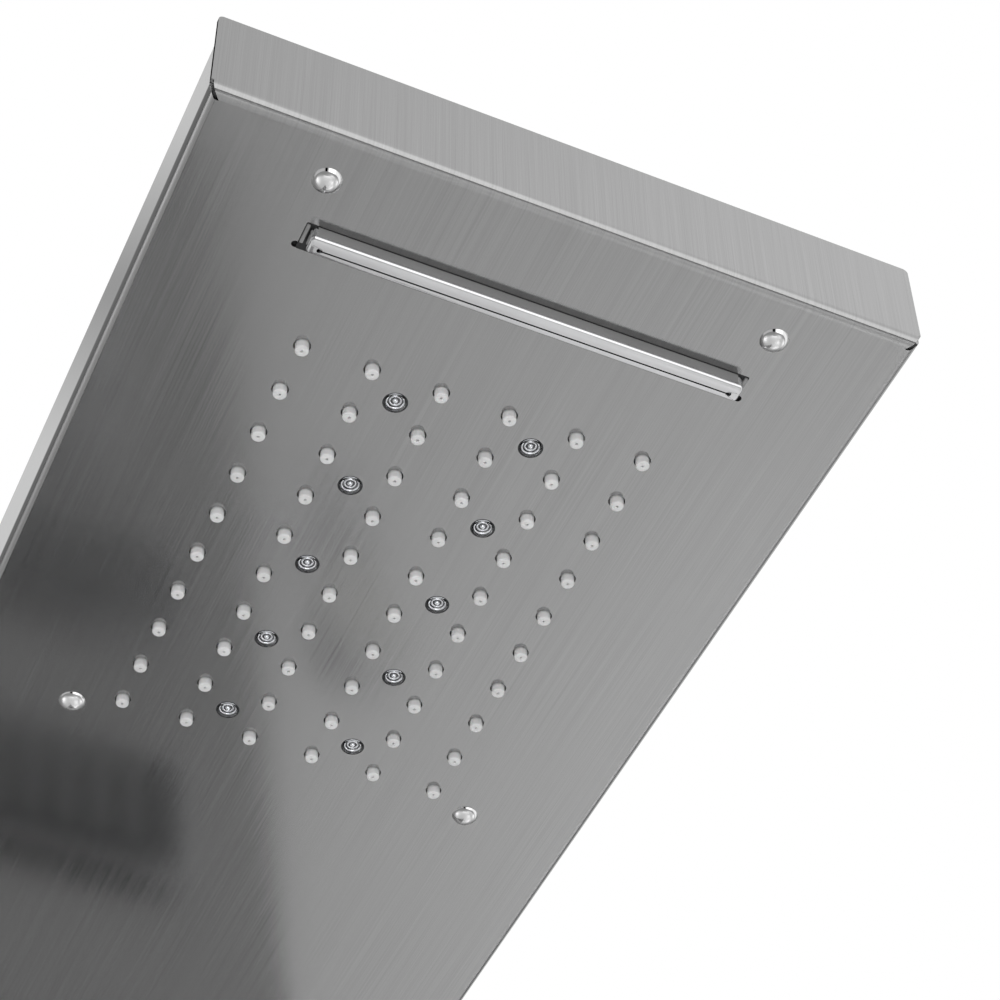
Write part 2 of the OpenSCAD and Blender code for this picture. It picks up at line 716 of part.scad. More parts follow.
// Head screws
nut_t = sheet_t + ear_t;
module head_dome_screws() {
    sphere_r = (dome_r * dome_r + dome_h * dome_h) / (2 * dome_h);
    color("#d4d6d8") on_head(0) screw_places([screw_front, screw_back]) {
        rotate_extrude() intersection() {
            translate([0, sphere_r - dome_h]) circle(sphere_r, $fn = 4 * $fn);
            translate([0, -dome_h]) square([dome_r, dome_h]);
        }
        z_rod(head_screw_r, 0, nut_t + head_nut_t + over);
    }
}
module head_screw_nuts() {
    color("#8f9295") on_head(0) screw_places([screw_front, screw_back])
        upward(nut_t, nut_t + head_nut_t) difference() {
            circle(head_nut_r, $fn = 6);
            circle(head_screw_r + fit);
        }
}

// Rain chamber
rim_t = mat_top + chamber_h;
cover_top = rim_t + seal_t + cover_t;
turret_f = last_row - inlet_in;
turret_port_t = cover_top + turret_h / 2;
module chamber_ring(h0, h1) {
    upward(h0, h1) translate([0, chamber_mid]) difference() {
        plate(chamber_w, chamber_l, chamber_wall);
        square([chamber_w - 2 * chamber_wall, chamber_l - 2 * chamber_wall], center = true);
    }
}
module dry_channels(wall, f0, f1, t0, t1) {
    for (x = led_cols) block([x - channel_w / 2 - wall, f0, t0], [x + channel_w / 2 + wall, f1, t1]);
}
module rain_chamber() {
    front = chamber_mid - chamber_l / 2;
    back = chamber_mid + chamber_l / 2;
    color("#303236") on_head(0) difference() {
        union() {
            chamber_ring(mat_top, rim_t);
            upward(mat_top, mat_top + chamber_floor) translate([0, chamber_mid])
                plate(chamber_w, chamber_l, chamber_wall);
            dry_channels(channel_wall, front + channel_wall, back - channel_wall, mat_top,
                mat_top + channel_h + channel_wall);
            for (a = [-1, 1]) translate([a * screw_span / 2, screw_back]) {
                z_rod(spacer_r, sheet_t, nut_t);
                block([min(0, -a * (screw_span - chamber_w) / 2), -ear_r, mat_top],
                    [max(0, -a * (screw_span - chamber_w) / 2), 0, nut_t]);
            }
        }
        upward(mat_top - over, mat_top + chamber_floor + over) nozzle_places()
            circle(nozzle_bore_r, $fn = 24);
        dry_channels(0, front + chamber_wall, back + over, mat_top - over, mat_top + channel_h);
        screw_places([screw_back]) z_rod(head_screw_r + fit, 0, nut_t + over);
    }
}
module chamber_seal() { color("#17181a") on_head(0) chamber_ring(rim_t, rim_t + seal_t); }
module chamber_cover() {
    color("#3a3c40") on_head(0) difference() {
        union() {
            upward(rim_t + seal_t, cover_top) translate([0, chamber_mid])
                plate(chamber_w, chamber_l, chamber_wall);
            translate([0, turret_f]) z_rod(turret_r, cover_top, cover_top + turret_h);
            translate([0, 0, turret_port_t]) y_rod(port_r, turret_f, turret_f + turret_r + port_l);
        }
        translate([0, turret_f]) z_rod(port_bore_r, rim_t, turret_port_t);
        translate([0, 0, turret_port_t])
            y_rod(port_bore_r, turret_f, turret_f + turret_r + port_l + over);
    }
}

// Generator
gen_top = sheet_t + gen_h;
gen_port_t = sheet_t + gen_h / 2;
gen_front = gen_at - gen_r - port_l;
gen_back = gen_at + gen_r + port_l;
module generator_housing() {
    color("#35373b") on_head(0) difference() {
        union() {
            translate([0, gen_at]) z_rod(gen_r, sheet_t, gen_top);
            translate([0, 0, gen_port_t]) y_rod(port_r, gen_front, gen_back);
        }
        translate([0, gen_at]) z_rod(gen_r - gen_wall, sheet_t + gen_wall, gen_top + over);
        translate([0, 0, gen_port_t]) y_rod(port_bore_r, gen_front - over, gen_back + over);
        translate([0, gen_at]) z_rod(axle_r + run, sheet_t + gap, sheet_t + gen_wall + over);
    }
}
module generator_lid() {
    color("#43464b") on_head(gen_at) difference() {
        z_rod(gen_r, gen_top, gen_top + gen_wall);
        z_rod(axle_r + run, gen_top - over, gen_top + gen_wall - gap);
    }
}
module turbine_rotor() {
    middle = (sheet_t + gen_wall + gen_top) / 2;
    color("#e6e2d2") on_head(gen_at) {
        z_rod(axle_r, sheet_t + 2 * gap, gen_top + gen_wall - 2 * gap);
        z_rod(hub_r, middle - vane_h / 2 - vane_t, middle + vane_h / 2 + vane_t);
        for (k = [0:vanes - 1]) rotate(k * 360 / vanes)
            block([hub_r / 2 + axle_r / 2, -vane_t / 2, middle - vane_h / 2],
                [turbine_r, vane_t / 2, middle + vane_h / 2]);
    }
}
module generator_hose() {
    run_in = (gen_front - turret_f - turret_r - port_l) / 6;
    color("#6d7073") tube_route([
        head_point(0, turret_f + turret_r + port_l, turret_port_t),
        head_point(0, turret_f + turret_r + port_l + run_in, turret_port_t),
        head_point(0, gen_front - run_in, gen_port_t), head_point(0, gen_front, gen_port_t)],
        hose_r, hose_bend);
}
// Where a hose along the column meets its line along the head, at a height above the sheet
function corner_point(x, t) =
    let (f = head_len + (column_d + hose_y - t * sin(head_tilt)) / cos(head_tilt)) head_point(x, f, t);
module rain_hose() {
    color("#6d7073") tube_route([
        [0, hose_y, diverter_z + diverter_r + port_l], corner_point(0, gen_port_t),
        head_point(0, gen_back, gen_port_t)], hose_r, bend_r + port_y);
}
function port_end(angle, l = diverter_r + port_l) =
    [l * cos(angle), hose_y, diverter_z + l * sin(angle)];
module waterfall_hose() {
    color("#6d7073") {
        elbow = port_end(30, hose_x / cos(30));
        half = [hose_x, hose_y, (elbow[2] + junction_z) / 2];
        tube_route([port_end(30), elbow, half], hose_r, hose_bend);
        tube_route([half, corner_point(hose_x, duct_port_t),
            head_point(hose_x, duct_f[1] + port_l, duct_port_t)], hose_r, bend_r + port_y);
    }
}

// Massage sprays
spray_in_w = block_w + 2 * block_gap + 2 * spray_wall;
spray_in_h = block_h + 2 * block_room + 2 * spray_wall;
spray_inner_y = block_back * cos(spray_tilt) + block_h / 2 * sin(spray_tilt) + block_gap - spray_pivot_y;
spray_port_x = spray_in_w / 2 + port_l;
stud_in = (spray_w - spray_in_w) / 4;
module stud_places() {
    for (a = [-1, 1], b = [-1, 1])
        translate([a * (spray_w / 2 - stud_in), b * (spray_h / 2 - stud_in)]) children();
}
module spray_frame(z, sides) {
    color("#c4c7ca") translate([0, 0, z]) difference() {
        union() {
            inward(face_y - spray_frame_t, face_y) plate(spray_w, spray_h, spray_corner_r);
            inward(face_y, spray_inner_y + spray_rear) square([spray_in_w, spray_in_h], center = true);
            inward(face_y, inner_y + stud_nut_t + over) stud_places() circle(stud_r);
            for (a = sides) translate([0, -spray_pivot_y, 0]) mirror([a < 0 ? 1 : 0, 0, 0])
                x_rod(port_r, spray_in_w / 2 - spray_wall, spray_port_x);
        }
        inward(face_y - spray_frame_t - over, spray_inner_y)
            square([block_w + 2 * block_gap, block_h + 2 * block_room], center = true);
        translate([0, -spray_pivot_y, 0]) {
            x_rod(trunnion_r + run, -block_w / 2 - trunnion_len - gap, block_w / 2 + trunnion_len + gap);
            for (a = sides) mirror([a < 0 ? 1 : 0, 0, 0])
                x_rod(trunnion_bore_r, block_w / 2, spray_port_x + over);
        }
    }
}
module spray_nozzle_places() {
    for (i = [-2:2], j = [-1.5:1.5]) translate([i * spray_pitch, j * spray_pitch]) children();
}
block_face_y = -spray_pivot_y - block_front;
module spray_block(z) {
    color("#26282b") translate([0, 0, z]) difference() {
        union() {
            block([-block_w / 2, block_face_y, -block_h / 2], [block_w / 2, block_back - spray_pivot_y,
                block_h / 2]);
            translate([0, -spray_pivot_y, 0])
                x_rod(trunnion_r, -block_w / 2 - trunnion_len, block_w / 2 + trunnion_len);
        }
        block([trunnion_len - block_w / 2, block_face_y + spray_nozzle_in, trunnion_len - block_h / 2],
            [block_w / 2 - trunnion_len, block_back - spray_pivot_y - trunnion_len,
            block_h / 2 - trunnion_len]);
        translate([0, -spray_pivot_y, 0]) x_rod(trunnion_bore_r, -block_w, block_w);
        inward(block_face_y - over, block_face_y + spray_nozzle_in + over)
            spray_nozzle_places() circle(spray_nozzle_r, $fn = 24);
    }
}
module spray_nozzles(z) {
    color("#c9cbcb") translate([0, 0, z])
        inward(block_face_y - spray_nozzle_out, block_face_y + spray_nozzle_in)
            spray_nozzle_places() difference() {
                circle(spray_nozzle_r, $fn = 24);
                circle(trunnion_bore_r / 2, $fn = 24);
            }
}
module spray_frame_upper() { spray_frame(spray_upper_z, [1]); }
module spray_frame_lower() { spray_frame(spray_lower_z, [-1, 1]); }
module spray_block_upper() { spray_block(spray_upper_z); }
module spray_block_lower() { spray_block(spray_lower_z); }
module spray_nozzles_upper() { spray_nozzles(spray_upper_z); }
module spray_nozzles_lower() { spray_nozzles(spray_lower_z); }
module spray_nuts() {
    color("#8f9295") for (z = [spray_upper_z, spray_lower_z]) translate([0, 0, z])
        inward(inner_y, inner_y + stud_nut_t) stud_places() difference() {
            circle(stud_nut_r, $fn = 6);
            circle(stud_r + fit);
        }
}
spray_hose_x = spray_port_x + hose_bend + over;
module spray_feed_hose() {
    far = port_end(150, spray_hose_x / cos(30));
    low = spray_lower_z - 2 * hose_bend;
    color("#6d7073") tube_route([
        port_end(150), far, [far[0], hose_y, low - spray_pivot_y + port_y],
        [far[0], -spray_pivot_y, low - over], [far[0], -spray_pivot_y, spray_lower_z],
        [-spray_port_x, -spray_pivot_y, spray_lower_z]], hose_r, hose_bend);
}
module spray_link_hose() {
    color("#6d7073") tube_route([
        [spray_port_x, -spray_pivot_y, spray_lower_z], [spray_hose_x, -spray_pivot_y, spray_lower_z],
        [spray_hose_x, -spray_pivot_y, spray_upper_z], [spray_port_x, -spray_pivot_y, spray_upper_z]],
        hose_r, hose_bend);
}

// Valves
neck_y = face_y - collar_t + sheet_t;
front_y = face_y - collar_t;
module collar(z, r, neck_r) {
    translate([0, 0, z]) difference() {
        union() {
            y_rod(r, face_y - collar_t / 2, face_y);
            translate([0, front_y, 0]) rotate([-90, 0, 0])
                cylinder(r1 = r - collar_t / 4, r2 = r, h = collar_t / 2);
        }
        y_rod(neck_r + fit, front_y - over, face_y + over);
    }
}
module radial(angles) { for (a = angles) rotate([0, -a, 0]) children(); }
diverter_floor = -2 * port_y + port_r + 2 * sheet_t;
module diverter_body() {
    ports = [30:60:330];
    ring_r = diverter_bore_r * 2 / 3;
    color("#b08d4a") translate([0, 0, diverter_z]) difference() {
        union() {
            y_rod(diverter_r, inner_y, back_y);
            y_rod(diverter_neck_r, neck_y, inner_y);
            translate([0, hose_y, 0]) radial(ports) x_rod(port_r, ring_r, diverter_r + port_l);
        }
        y_rod(diverter_bore_r, neck_y - over, diverter_floor);
        translate([0, hose_y, 0]) radial(ports) x_rod(port_bore_r, ring_r, diverter_r + port_l + over);
        radial(ports) translate([ring_r, 0, 0]) y_rod(port_bore_r, diverter_floor - over, hose_y);
    }
}
bonnet_t = collar_t / 2;
module diverter_bonnet() {
    color("#c7a35a") translate([0, 0, diverter_z]) difference() {
        y_rod(diverter_bore_r - fit, neck_y, neck_y + bonnet_t);
        y_rod(spindle_r + run, neck_y - over, neck_y + bonnet_t + over);
    }
}
knob_y = front_y - over;
module diverter_spindle() {
    color("#d9d4c4") translate([0, 0, diverter_z]) {
        y_rod(disc_r, diverter_floor - gap - disc_t, diverter_floor - gap);
        y_rod(spindle_r, knob_y - knob_l * 3 / 4, diverter_floor - gap - disc_t);
    }
}
module diverter_collar() { color("#d0d3d6") collar(diverter_z, diverter_collar_r, diverter_neck_r); }
module diverter_knob() {
    color("#d0d3d6") translate([0, 0, diverter_z]) difference() {
        union() {
            y_rod(knob_r, knob_y - knob_l + sheet_t, knob_y);
            translate([0, knob_y - knob_l, 0]) rotate([-90, 0, 0])
                cylinder(r1 = knob_r - sheet_t, r2 = knob_r, h = sheet_t);
            translate([0, 0, knob_r]) block([-sheet_t, knob_y - knob_l, -knob_r / 2],
                [sheet_t, knob_y - knob_l / 2, sheet_t]);
        }
        y_rod(spindle_r + run, knob_y - knob_l * 3 / 4, knob_y + over);
        for (k = [1:knob_flutes - 1]) rotate([0, k * 360 / knob_flutes - 90, 0])
            translate([knob_r + flute_r / 2, 0, 0]) y_rod(flute_r, knob_y - knob_l - over, knob_y + over);
    }
}
cartridge_back = back_y - 2 * port_r - 2 * sheet_t;
ring_t = collar_t / 3;
valve_mid_y = (inner_y + back_y) / 2;
stub_x = inlet_x - elbow_r - fit;
module mixer_body() {
    color("#b08d4a") translate([0, 0, mixer_z]) difference() {
        union() {
            y_rod(mixer_r, inner_y, back_y);
            y_rod(mixer_neck_r, neck_y, inner_y);
            translate([0, hose_y, 0]) z_rod(port_r, 0, mixer_r + port_l);
            translate([0, valve_mid_y, 0]) x_rod(stem_r, -stub_x, stub_x);
        }
        y_rod(cartridge_r + fit, neck_y - over, cartridge_back);
        translate([0, hose_y, 0]) z_rod(port_bore_r, 0, mixer_r + port_l + over);
        y_rod(port_bore_r, cartridge_back - over, hose_y);
        for (a = [-1, 1]) translate([0, valve_mid_y, 0]) mirror([a < 0 ? 1 : 0, 0, 0])
            x_rod(port_r, cartridge_r, stub_x + over);
    }
}
socket_l = collar_t;
module mixer_cartridge() {
    color("#e8e6de") translate([0, 0, mixer_z]) difference() {
        y_rod(cartridge_r, neck_y + ring_t, cartridge_back);
        y_rod(cap_r / 3 + run, neck_y + ring_t - over, neck_y + ring_t + socket_l);
    }
}
module mixer_ring() {
    color("#c7a35a") translate([0, 0, mixer_z]) difference() {
        y_rod(cartridge_r, neck_y, neck_y + ring_t);
        y_rod(cartridge_r * 2 / 3, neck_y - over, neck_y + ring_t + over);
    }
}
module mixer_collar() { color("#d0d3d6") collar(mixer_z, mixer_collar_r, mixer_neck_r); }
cap_y = front_y - over;
pin_y = cap_y - cap_l + lever_hub_r + sheet_t;
pin_half = cap_r - lever_hub_r / 2;
module mixer_cap() {
    slot_half = lever_w / 2 + gap;
    floor_y = pin_y + lever_hub_r + sheet_t;
    color("#d0d3d6") translate([0, 0, mixer_z]) difference() {
        union() {
            y_rod(cap_r, cap_y - cap_l + sheet_t, cap_y);
            translate([0, cap_y - cap_l, 0]) rotate([-90, 0, 0])
                cylinder(r1 = cap_r - sheet_t, r2 = cap_r, h = sheet_t);
            y_rod(cap_r / 3, cap_y, neck_y + ring_t + socket_l - gap);
        }
        block([-slot_half, cap_y - cap_l - over, -cap_r - over],
            [slot_half, floor_y, lever_hub_r + sheet_t]);
        translate([0, pin_y, 0]) x_rod(pin_r + fit / 2, -cap_r - over, cap_r + over);
    }
}
module mixer_pin() { color("#9a9da0") translate([0, pin_y, mixer_z]) x_rod(pin_r, -pin_half, pin_half); }
module mixer_lever() {
    color("#d0d3d6") translate([0, pin_y, mixer_z]) difference() {
        union() {
            x_rod(lever_hub_r, -lever_w / 2, lever_w / 2);
            block([-lever_w / 2, -lever_t / 2, lever_w / 2 - lever_len], [lever_w / 2, lever_t / 2, 0]);
            translate([0, 0, lever_w / 2 - lever_len]) y_rod(lever_w / 2, -lever_t / 2, lever_t / 2);
        }
        x_rod(pin_r + run, -lever_w, lever_w);
    }
}
module link_pipe() {
    color("#b87b4b") translate([0, hose_y, 0]) difference() {
        z_rod(port_r, mixer_z + mixer_r + port_l, diverter_z - diverter_r - port_l);
        z_rod(port_bore_r, mixer_z, diverter_z);
    }
}
elbow_seat = elbow_r + sheet_t;
module inlet_elbow(a) {
    color("#c7a35a") translate([a * inlet_x, valve_mid_y, mixer_z]) mirror([a < 0 ? 1 : 0, 0, 0])
        difference() {
            union() {
                y_rod(elbow_r, -elbow_r, elbow_seat);
                y_rod(thread_r, elbow_seat, elbow_seat + thread_l);
                x_rod(stem_r, -elbow_r - fit, 0);
            }
            y_rod(port_r, 0, elbow_seat + thread_l + over);
            x_rod(port_r, -elbow_r - over, 0);
        }
}
module hot_inlet_elbow() { inlet_elbow(-1); }
module cold_inlet_elbow() { inlet_elbow(1); }

// Tub spout
rose_y = face_y - rose_seal_t - rose_t;
tail_y = -port_y - tail_r - sheet_t;
module tub_spout() {
    tip_y = rose_y - spout_l;
    color("#d0d3d6") translate([0, 0, spout_z]) difference() {
        union() {
            y_rod(rose_r, rose_y, rose_y + rose_t);
            inward(tip_y, rose_y) plate(spout_w, spout_t, spout_t / 4);
            y_rod(tail_r, rose_y + rose_t, tail_y);
        }
        y_rod(port_r, tip_y + spout_t, tail_y + over);
        translate([0, tip_y + spout_t, 0]) z_rod(aerator_r + fit, -spout_t / 2 - over, 0);
    }
}
module spout_seal() {
    color("#17181a") translate([0, 0, spout_z]) difference() {
        y_rod(rose_r - over, face_y - rose_seal_t, face_y);
        y_rod(tail_r + fit, face_y - rose_seal_t - over, face_y + over);
    }
}
module flow_straightener() {
    color("#5a5d61") translate([0, rose_y - spout_l + spout_t, spout_z - spout_t / 2])
        difference() {
            z_rod(aerator_r, 0, aerator_h);
            for (i = [-1:1], j = [-1:1]) translate([i, j] * aerator_r / 2)
                z_rod(aerator_r / 5, -over, aerator_h + over);
        }
}
module spout_nut() {
    color("#c7a35a") translate([0, 0, spout_z]) inward(inner_y, inner_y + tail_nut_t) difference() {
        circle(tail_nut_r, $fn = 6);
        circle(tail_r + fit);
    }
}
module spout_elbow() {
    color("#b08d4a") translate([0, 0, spout_z]) difference() {
        union() {
            y_rod(tail_r, tail_y, back_y);
            translate([0, hose_y, 0]) x_rod(port_r, -tail_r - port_l, 0);
        }
        y_rod(port_r, tail_y - over, hose_y);
        translate([0, hose_y, 0]) x_rod(port_bore_r, -tail_r - port_l - over, 0);
    }
}
module spout_hose() {
    far = port_end(210, hose_x / cos(30));
    color("#6d7073") tube_route([port_end(210), far, [far[0], hose_y, spout_z],
        [-tail_r - port_l, hose_y, spout_z]], hose_r, hose_bend);
}

// Hose outlet at the panel's bottom
outlet_top = bottom_z + sheet_t + stud_nut_t * 2;
module hose_outlet() {
    color("#d0d3d6") translate([outlet_x, -outlet_y, 0]) difference() {
        union() {
            z_rod(shoulder_r, bottom_z - shoulder_t, bottom_z);
            z_rod(thread_r, bottom_z - shoulder_t - thread_l, bottom_z - shoulder_t);
            z_rod(stem_r, bottom_z, outlet_top);
            z_rod(port_r, outlet_top, outlet_top + port_l);
        }
        z_rod(port_bore_r, bottom_z - shoulder_t - thread_l - over, outlet_top + port_l + over);
    }
}
module outlet_nut() {
    color("#c7a35a") translate([outlet_x, -outlet_y, 0])
        upward(bottom_z + sheet_t, outlet_top) difference() {
            circle(shoulder_r - sheet_t, $fn = 6);
            circle(stem_r + fit);
        }
}
module outlet_hose() {
    far = port_end(330, hose_x / cos(30));
    turn_z = outlet_top + port_l + 2 * hose_bend;
    color("#6d7073") tube_route([port_end(330), far, [far[0], hose_y, turn_z + 2 * hose_bend],
        [outlet_x, -outlet_y, turn_z], [outlet_x, -outlet_y, outlet_top + port_l]], hose_r, hose_bend);
}

// Wall brackets
ear_x = half_w - sheet_t - fit;
side_y = -bracket_d * 2 / 3;
module side_screw_places() {
    for (z = [-fixing_z / 2, fixing_z / 2], a = [-1, 1])
        translate([0, side_y, z]) mirror([a < 0 ? 1 : 0, 0, 0]) translate([half_w, 0, 0]) children();
}
module wall_brackets() {
    color("#a8abad") for (z = [-fixing_z / 2, fixing_z / 2]) translate([0, 0, z]) difference() {
        union() {
            block([-ear_x, -bracket_t, -bracket_h / 2], [ear_x, 0, bracket_h / 2]);
            for (a = [-1, 1]) block([a * ear_x - (a > 0 ? bracket_t : 0), -bracket_d, -bracket_h / 2],
                [a * ear_x + (a > 0 ? 0 : bracket_t), 0, bracket_h / 2]);
        }
        for (a = [-1, 1]) translate([a * fixing_x / 2, 0, 0]) y_rod(fixing_r, -bracket_t - over, over);
        translate([0, side_y, 0]) x_rod(side_screw_r + fit, -half_w, half_w);
    }
}
module side_screw() {
    x_rod(side_screw_r, -side_screw_l, 0);
    x_rod(side_head_r, 0, side_head_h);
}
module bracket_screws() { color("#c0c2c4") side_screw_places() side_screw(); }

// Hand shower and its holder
plate_t = 3 * sheet_t;
holder_plate = [2 * arm_r + sheet_t, 4 * arm_r];
holder_plate_y = face_y + 2 * sheet_t + holder_plate[0] / 2;
arm_x = half_w + arm_l;
holder_screw_z = arm_r + side_head_r + gap;
module holder_screw_places() {
    for (a = [-1, 1]) translate([half_w, holder_plate_y, holder_z + a * holder_screw_z]) children();
}
module holder_bracket() {
    color("#d0d3d6") difference() {
        union() {
            translate([0, holder_plate_y, holder_z])
                block([half_w, -holder_plate[0] / 2, -holder_plate[1] / 2],
                    [half_w + plate_t, holder_plate[0] / 2, holder_plate[1] / 2]);
            translate([0, -hand_y, holder_z]) x_rod(arm_r, half_w + gap, arm_x);
            block([half_w, -hand_y, holder_z - arm_r], [arm_x, holder_plate_y, holder_z + arm_r]);
        }
        holder_screw_places() {
            x_rod(side_screw_r + fit, -over, plate_t + over);
        }
        translate([0, -hand_y, holder_z]) x_rod(holder_pin_r + fit / 2, half_w + plate_t, arm_x + over);
    }
}
cradle_x = arm_x + gap;
ring_r = seat_top_r + gap + cradle_wall;
hub_r2 = arm_r + sheet_t;
pin_head_x = hand_x - ring_r - holder_pin_r;
module holder_bolt() {
    color("#9a9da0") {
        translate([0, -hand_y, holder_z]) {
            x_rod(holder_pin_r, half_w + plate_t + gap, pin_head_x);
            x_rod(holder_pin_r + 2 * sheet_t, pin_head_x, pin_head_x + holder_pin_r - run);
        }
        holder_screw_places() {
            x_rod(side_screw_r, -side_screw_l, plate_t);
            x_rod(side_head_r, plate_t, plate_t + side_head_h);
        }
    }
}
cradle_low = holder_z - cradle_h / 2;
cradle_high = holder_z + cradle_h / 2;
module seat_cone(wider, longer) {
    slope = (seat_top_r - seat_low_r) / cradle_h;
    translate([hand_x, -hand_y, cradle_low - longer])
        cylinder(r1 = seat_low_r + wider - slope * longer, r2 = seat_top_r + wider + slope * longer,
            h = cradle_h + 2 * longer);
}
module holder_cradle() {
    color("#d0d3d6") difference() {
        union() {
            translate([hand_x, -hand_y, 0]) z_rod(ring_r, cradle_low, cradle_high);
            translate([0, -hand_y, holder_z]) x_rod(hub_r2, cradle_x, hand_x - seat_top_r);
        }
        seat_cone(gap, over);
        translate([hand_x - cradle_slot / 2, -hand_y - 2 * ring_r, cradle_low - over])
            cube([cradle_slot, 2 * ring_r, cradle_h + 2 * over]);
        translate([0, -hand_y, holder_z]) {
            x_rod(holder_pin_r + run, cradle_x - over, hand_x);
            x_rod(holder_pin_r + 2 * sheet_t + gap, pin_head_x - run, hand_x);
        }
    }
}
hand_low = cradle_low - handle_low;
hand_front = -hand_y - hand_d / 2;
plenum_d = hand_d / 2;
module hand_shower_body() {
    neck_z = hand_z - hand_h / 2;
    color("#d0d3d6") difference() {
        union() {
            translate([hand_x, 0, hand_z])
                inward(hand_front, hand_front + hand_d) plate(hand_w, hand_h, hand_w / 2 - fit);
            seat_cone(0, 0);
            translate([hand_x, -hand_y, 0]) {
                z_rod(seat_top_r, cradle_high, neck_z + hand_w / 2);
                z_rod(seat_low_r, hand_low, cradle_low);
            }
        }
        translate([hand_x, 0, hand_z]) {
            inward(hand_front - over, hand_front + face_t) plate(face_w + 2 * fit, face_h + 2 * fit,
                face_w / 2);
            inward(hand_front, hand_front + plenum_d) plate(face_w - hand_rim, face_h - hand_rim,
                face_w / 2 - hand_rim);
        }
        translate([hand_x, -hand_y, 0]) z_rod(port_r, hand_low - over, hand_z);
    }
}
hand_rim = 2.5 * sheet_t;
face_t = hand_rim;
face_w = hand_w - 2 * hand_rim;
face_h = hand_h - 2 * hand_rim;
module hand_nozzle_places() {
    step = face_w / 5;
    for (i = [-1.5:1.5], j = [-4.5:4.5]) translate([i, j] * step) children();
}
hand_nozzle_r = face_w / 28;
module hand_shower_face() {
    color("#e3e5e6") translate([hand_x, 0, hand_z]) inward(hand_front, hand_front + face_t)
        difference() {
            plate(face_w, face_h, face_w / 2 - fit);
            hand_nozzle_places() circle(hand_nozzle_r, $fn = 16);
        }
}
module hand_shower_tail() {
    color("#d0d3d6") translate([hand_x, -hand_y, 0]) difference() {
        union() {
            z_rod(seat_low_r, hand_low - shoulder_t, hand_low);
            z_rod(thread_r, hand_low - shoulder_t - thread_l, hand_low - shoulder_t);
            z_rod(port_r - fit, hand_low, hand_low + thread_l);
        }
        z_rod(port_bore_r, hand_low - shoulder_t - thread_l - over, hand_low + thread_l + over);
    }
}

panel_shell();
nozzle_mat();
rain_chamber();
chamber_seal();
chamber_cover();
led_lenses();
led_chips();
led_boards();
led_cables();
waterfall_spout();
waterfall_duct();
head_dome_screws();
head_screw_nuts();
generator_housing();
generator_lid();
turbine_rotor();
generator_hose();
rain_hose();
waterfall_hose();
spray_frame_upper();
spray_block_upper();
spray_nozzles_upper();
spray_frame_lower();
spray_block_lower();
spray_nozzles_lower();
spray_nuts();
spray_feed_hose();
spray_link_hose();
diverter_body();
diverter_bonnet();
diverter_spindle();
diverter_collar();
diverter_knob();
mixer_body();
mixer_cartridge();
mixer_ring();
mixer_collar();
mixer_cap();
mixer_pin();
mixer_lever();
link_pipe();
hot_inlet_elbow();
cold_inlet_elbow();
tub_spout();
spout_seal();
spout_nut();
spout_elbow();
spout_hose();
flow_straightener();
outlet_hose();
hose_outlet();
outlet_nut();
wall_brackets();
bracket_screws();
holder_bracket();
holder_bolt();
holder_cradle();
hand_shower_body();
hand_shower_face();
hand_shower_tail();
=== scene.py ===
"""Shower panel column: the looks of its pieces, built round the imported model.

Run as a script. Sizes are metres in the model's own frame: X right, Y into the wall, Z up,
with the origin on the wall at the middle of the four fixing holes.
"""

import json
import math

import bmesh
import bpy
import numpy as np
from mathutils import Matrix, Vector
from mathutils.geometry import delaunay_2d_cdt

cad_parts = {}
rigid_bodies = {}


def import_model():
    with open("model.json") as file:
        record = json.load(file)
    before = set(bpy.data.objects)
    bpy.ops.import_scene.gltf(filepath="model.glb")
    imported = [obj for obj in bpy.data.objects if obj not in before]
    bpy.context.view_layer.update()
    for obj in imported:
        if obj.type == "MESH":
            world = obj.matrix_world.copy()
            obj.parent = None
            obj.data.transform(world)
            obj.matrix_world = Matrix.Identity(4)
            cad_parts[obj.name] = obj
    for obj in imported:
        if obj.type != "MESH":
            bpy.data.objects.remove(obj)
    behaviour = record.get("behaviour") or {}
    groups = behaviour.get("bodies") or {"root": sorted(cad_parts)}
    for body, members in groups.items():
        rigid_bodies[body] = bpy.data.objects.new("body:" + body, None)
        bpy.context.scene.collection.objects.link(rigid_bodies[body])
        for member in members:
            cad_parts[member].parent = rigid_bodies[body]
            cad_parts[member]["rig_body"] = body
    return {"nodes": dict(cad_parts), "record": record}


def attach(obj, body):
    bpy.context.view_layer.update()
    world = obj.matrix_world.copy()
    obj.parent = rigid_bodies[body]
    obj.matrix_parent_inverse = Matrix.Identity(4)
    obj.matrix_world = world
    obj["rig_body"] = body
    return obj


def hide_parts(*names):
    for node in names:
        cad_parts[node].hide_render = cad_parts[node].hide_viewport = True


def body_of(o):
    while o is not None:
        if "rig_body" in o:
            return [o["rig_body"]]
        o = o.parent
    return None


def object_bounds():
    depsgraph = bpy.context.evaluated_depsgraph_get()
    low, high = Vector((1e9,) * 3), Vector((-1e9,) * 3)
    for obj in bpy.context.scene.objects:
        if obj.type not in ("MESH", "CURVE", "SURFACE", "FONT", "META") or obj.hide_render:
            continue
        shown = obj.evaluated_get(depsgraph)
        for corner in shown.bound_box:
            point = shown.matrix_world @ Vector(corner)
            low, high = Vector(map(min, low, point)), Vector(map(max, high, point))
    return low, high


bl_info = {
    "name": "Shower panel column",
    "version": (1, 0, 0),
    "blender": (4, 5, 0),
    "location": "3D View > Sidebar > Shower panel",
    "description": "Builds the visible pieces of a shower panel column round its model",
    "category": "Object",
}

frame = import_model()
MODEL_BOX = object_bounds()
SLOT_OF = {part["node"]: part["material_slot"] for part in frame["record"]["subparts"]}
MM = 0.001
SHARP = math.radians(35)

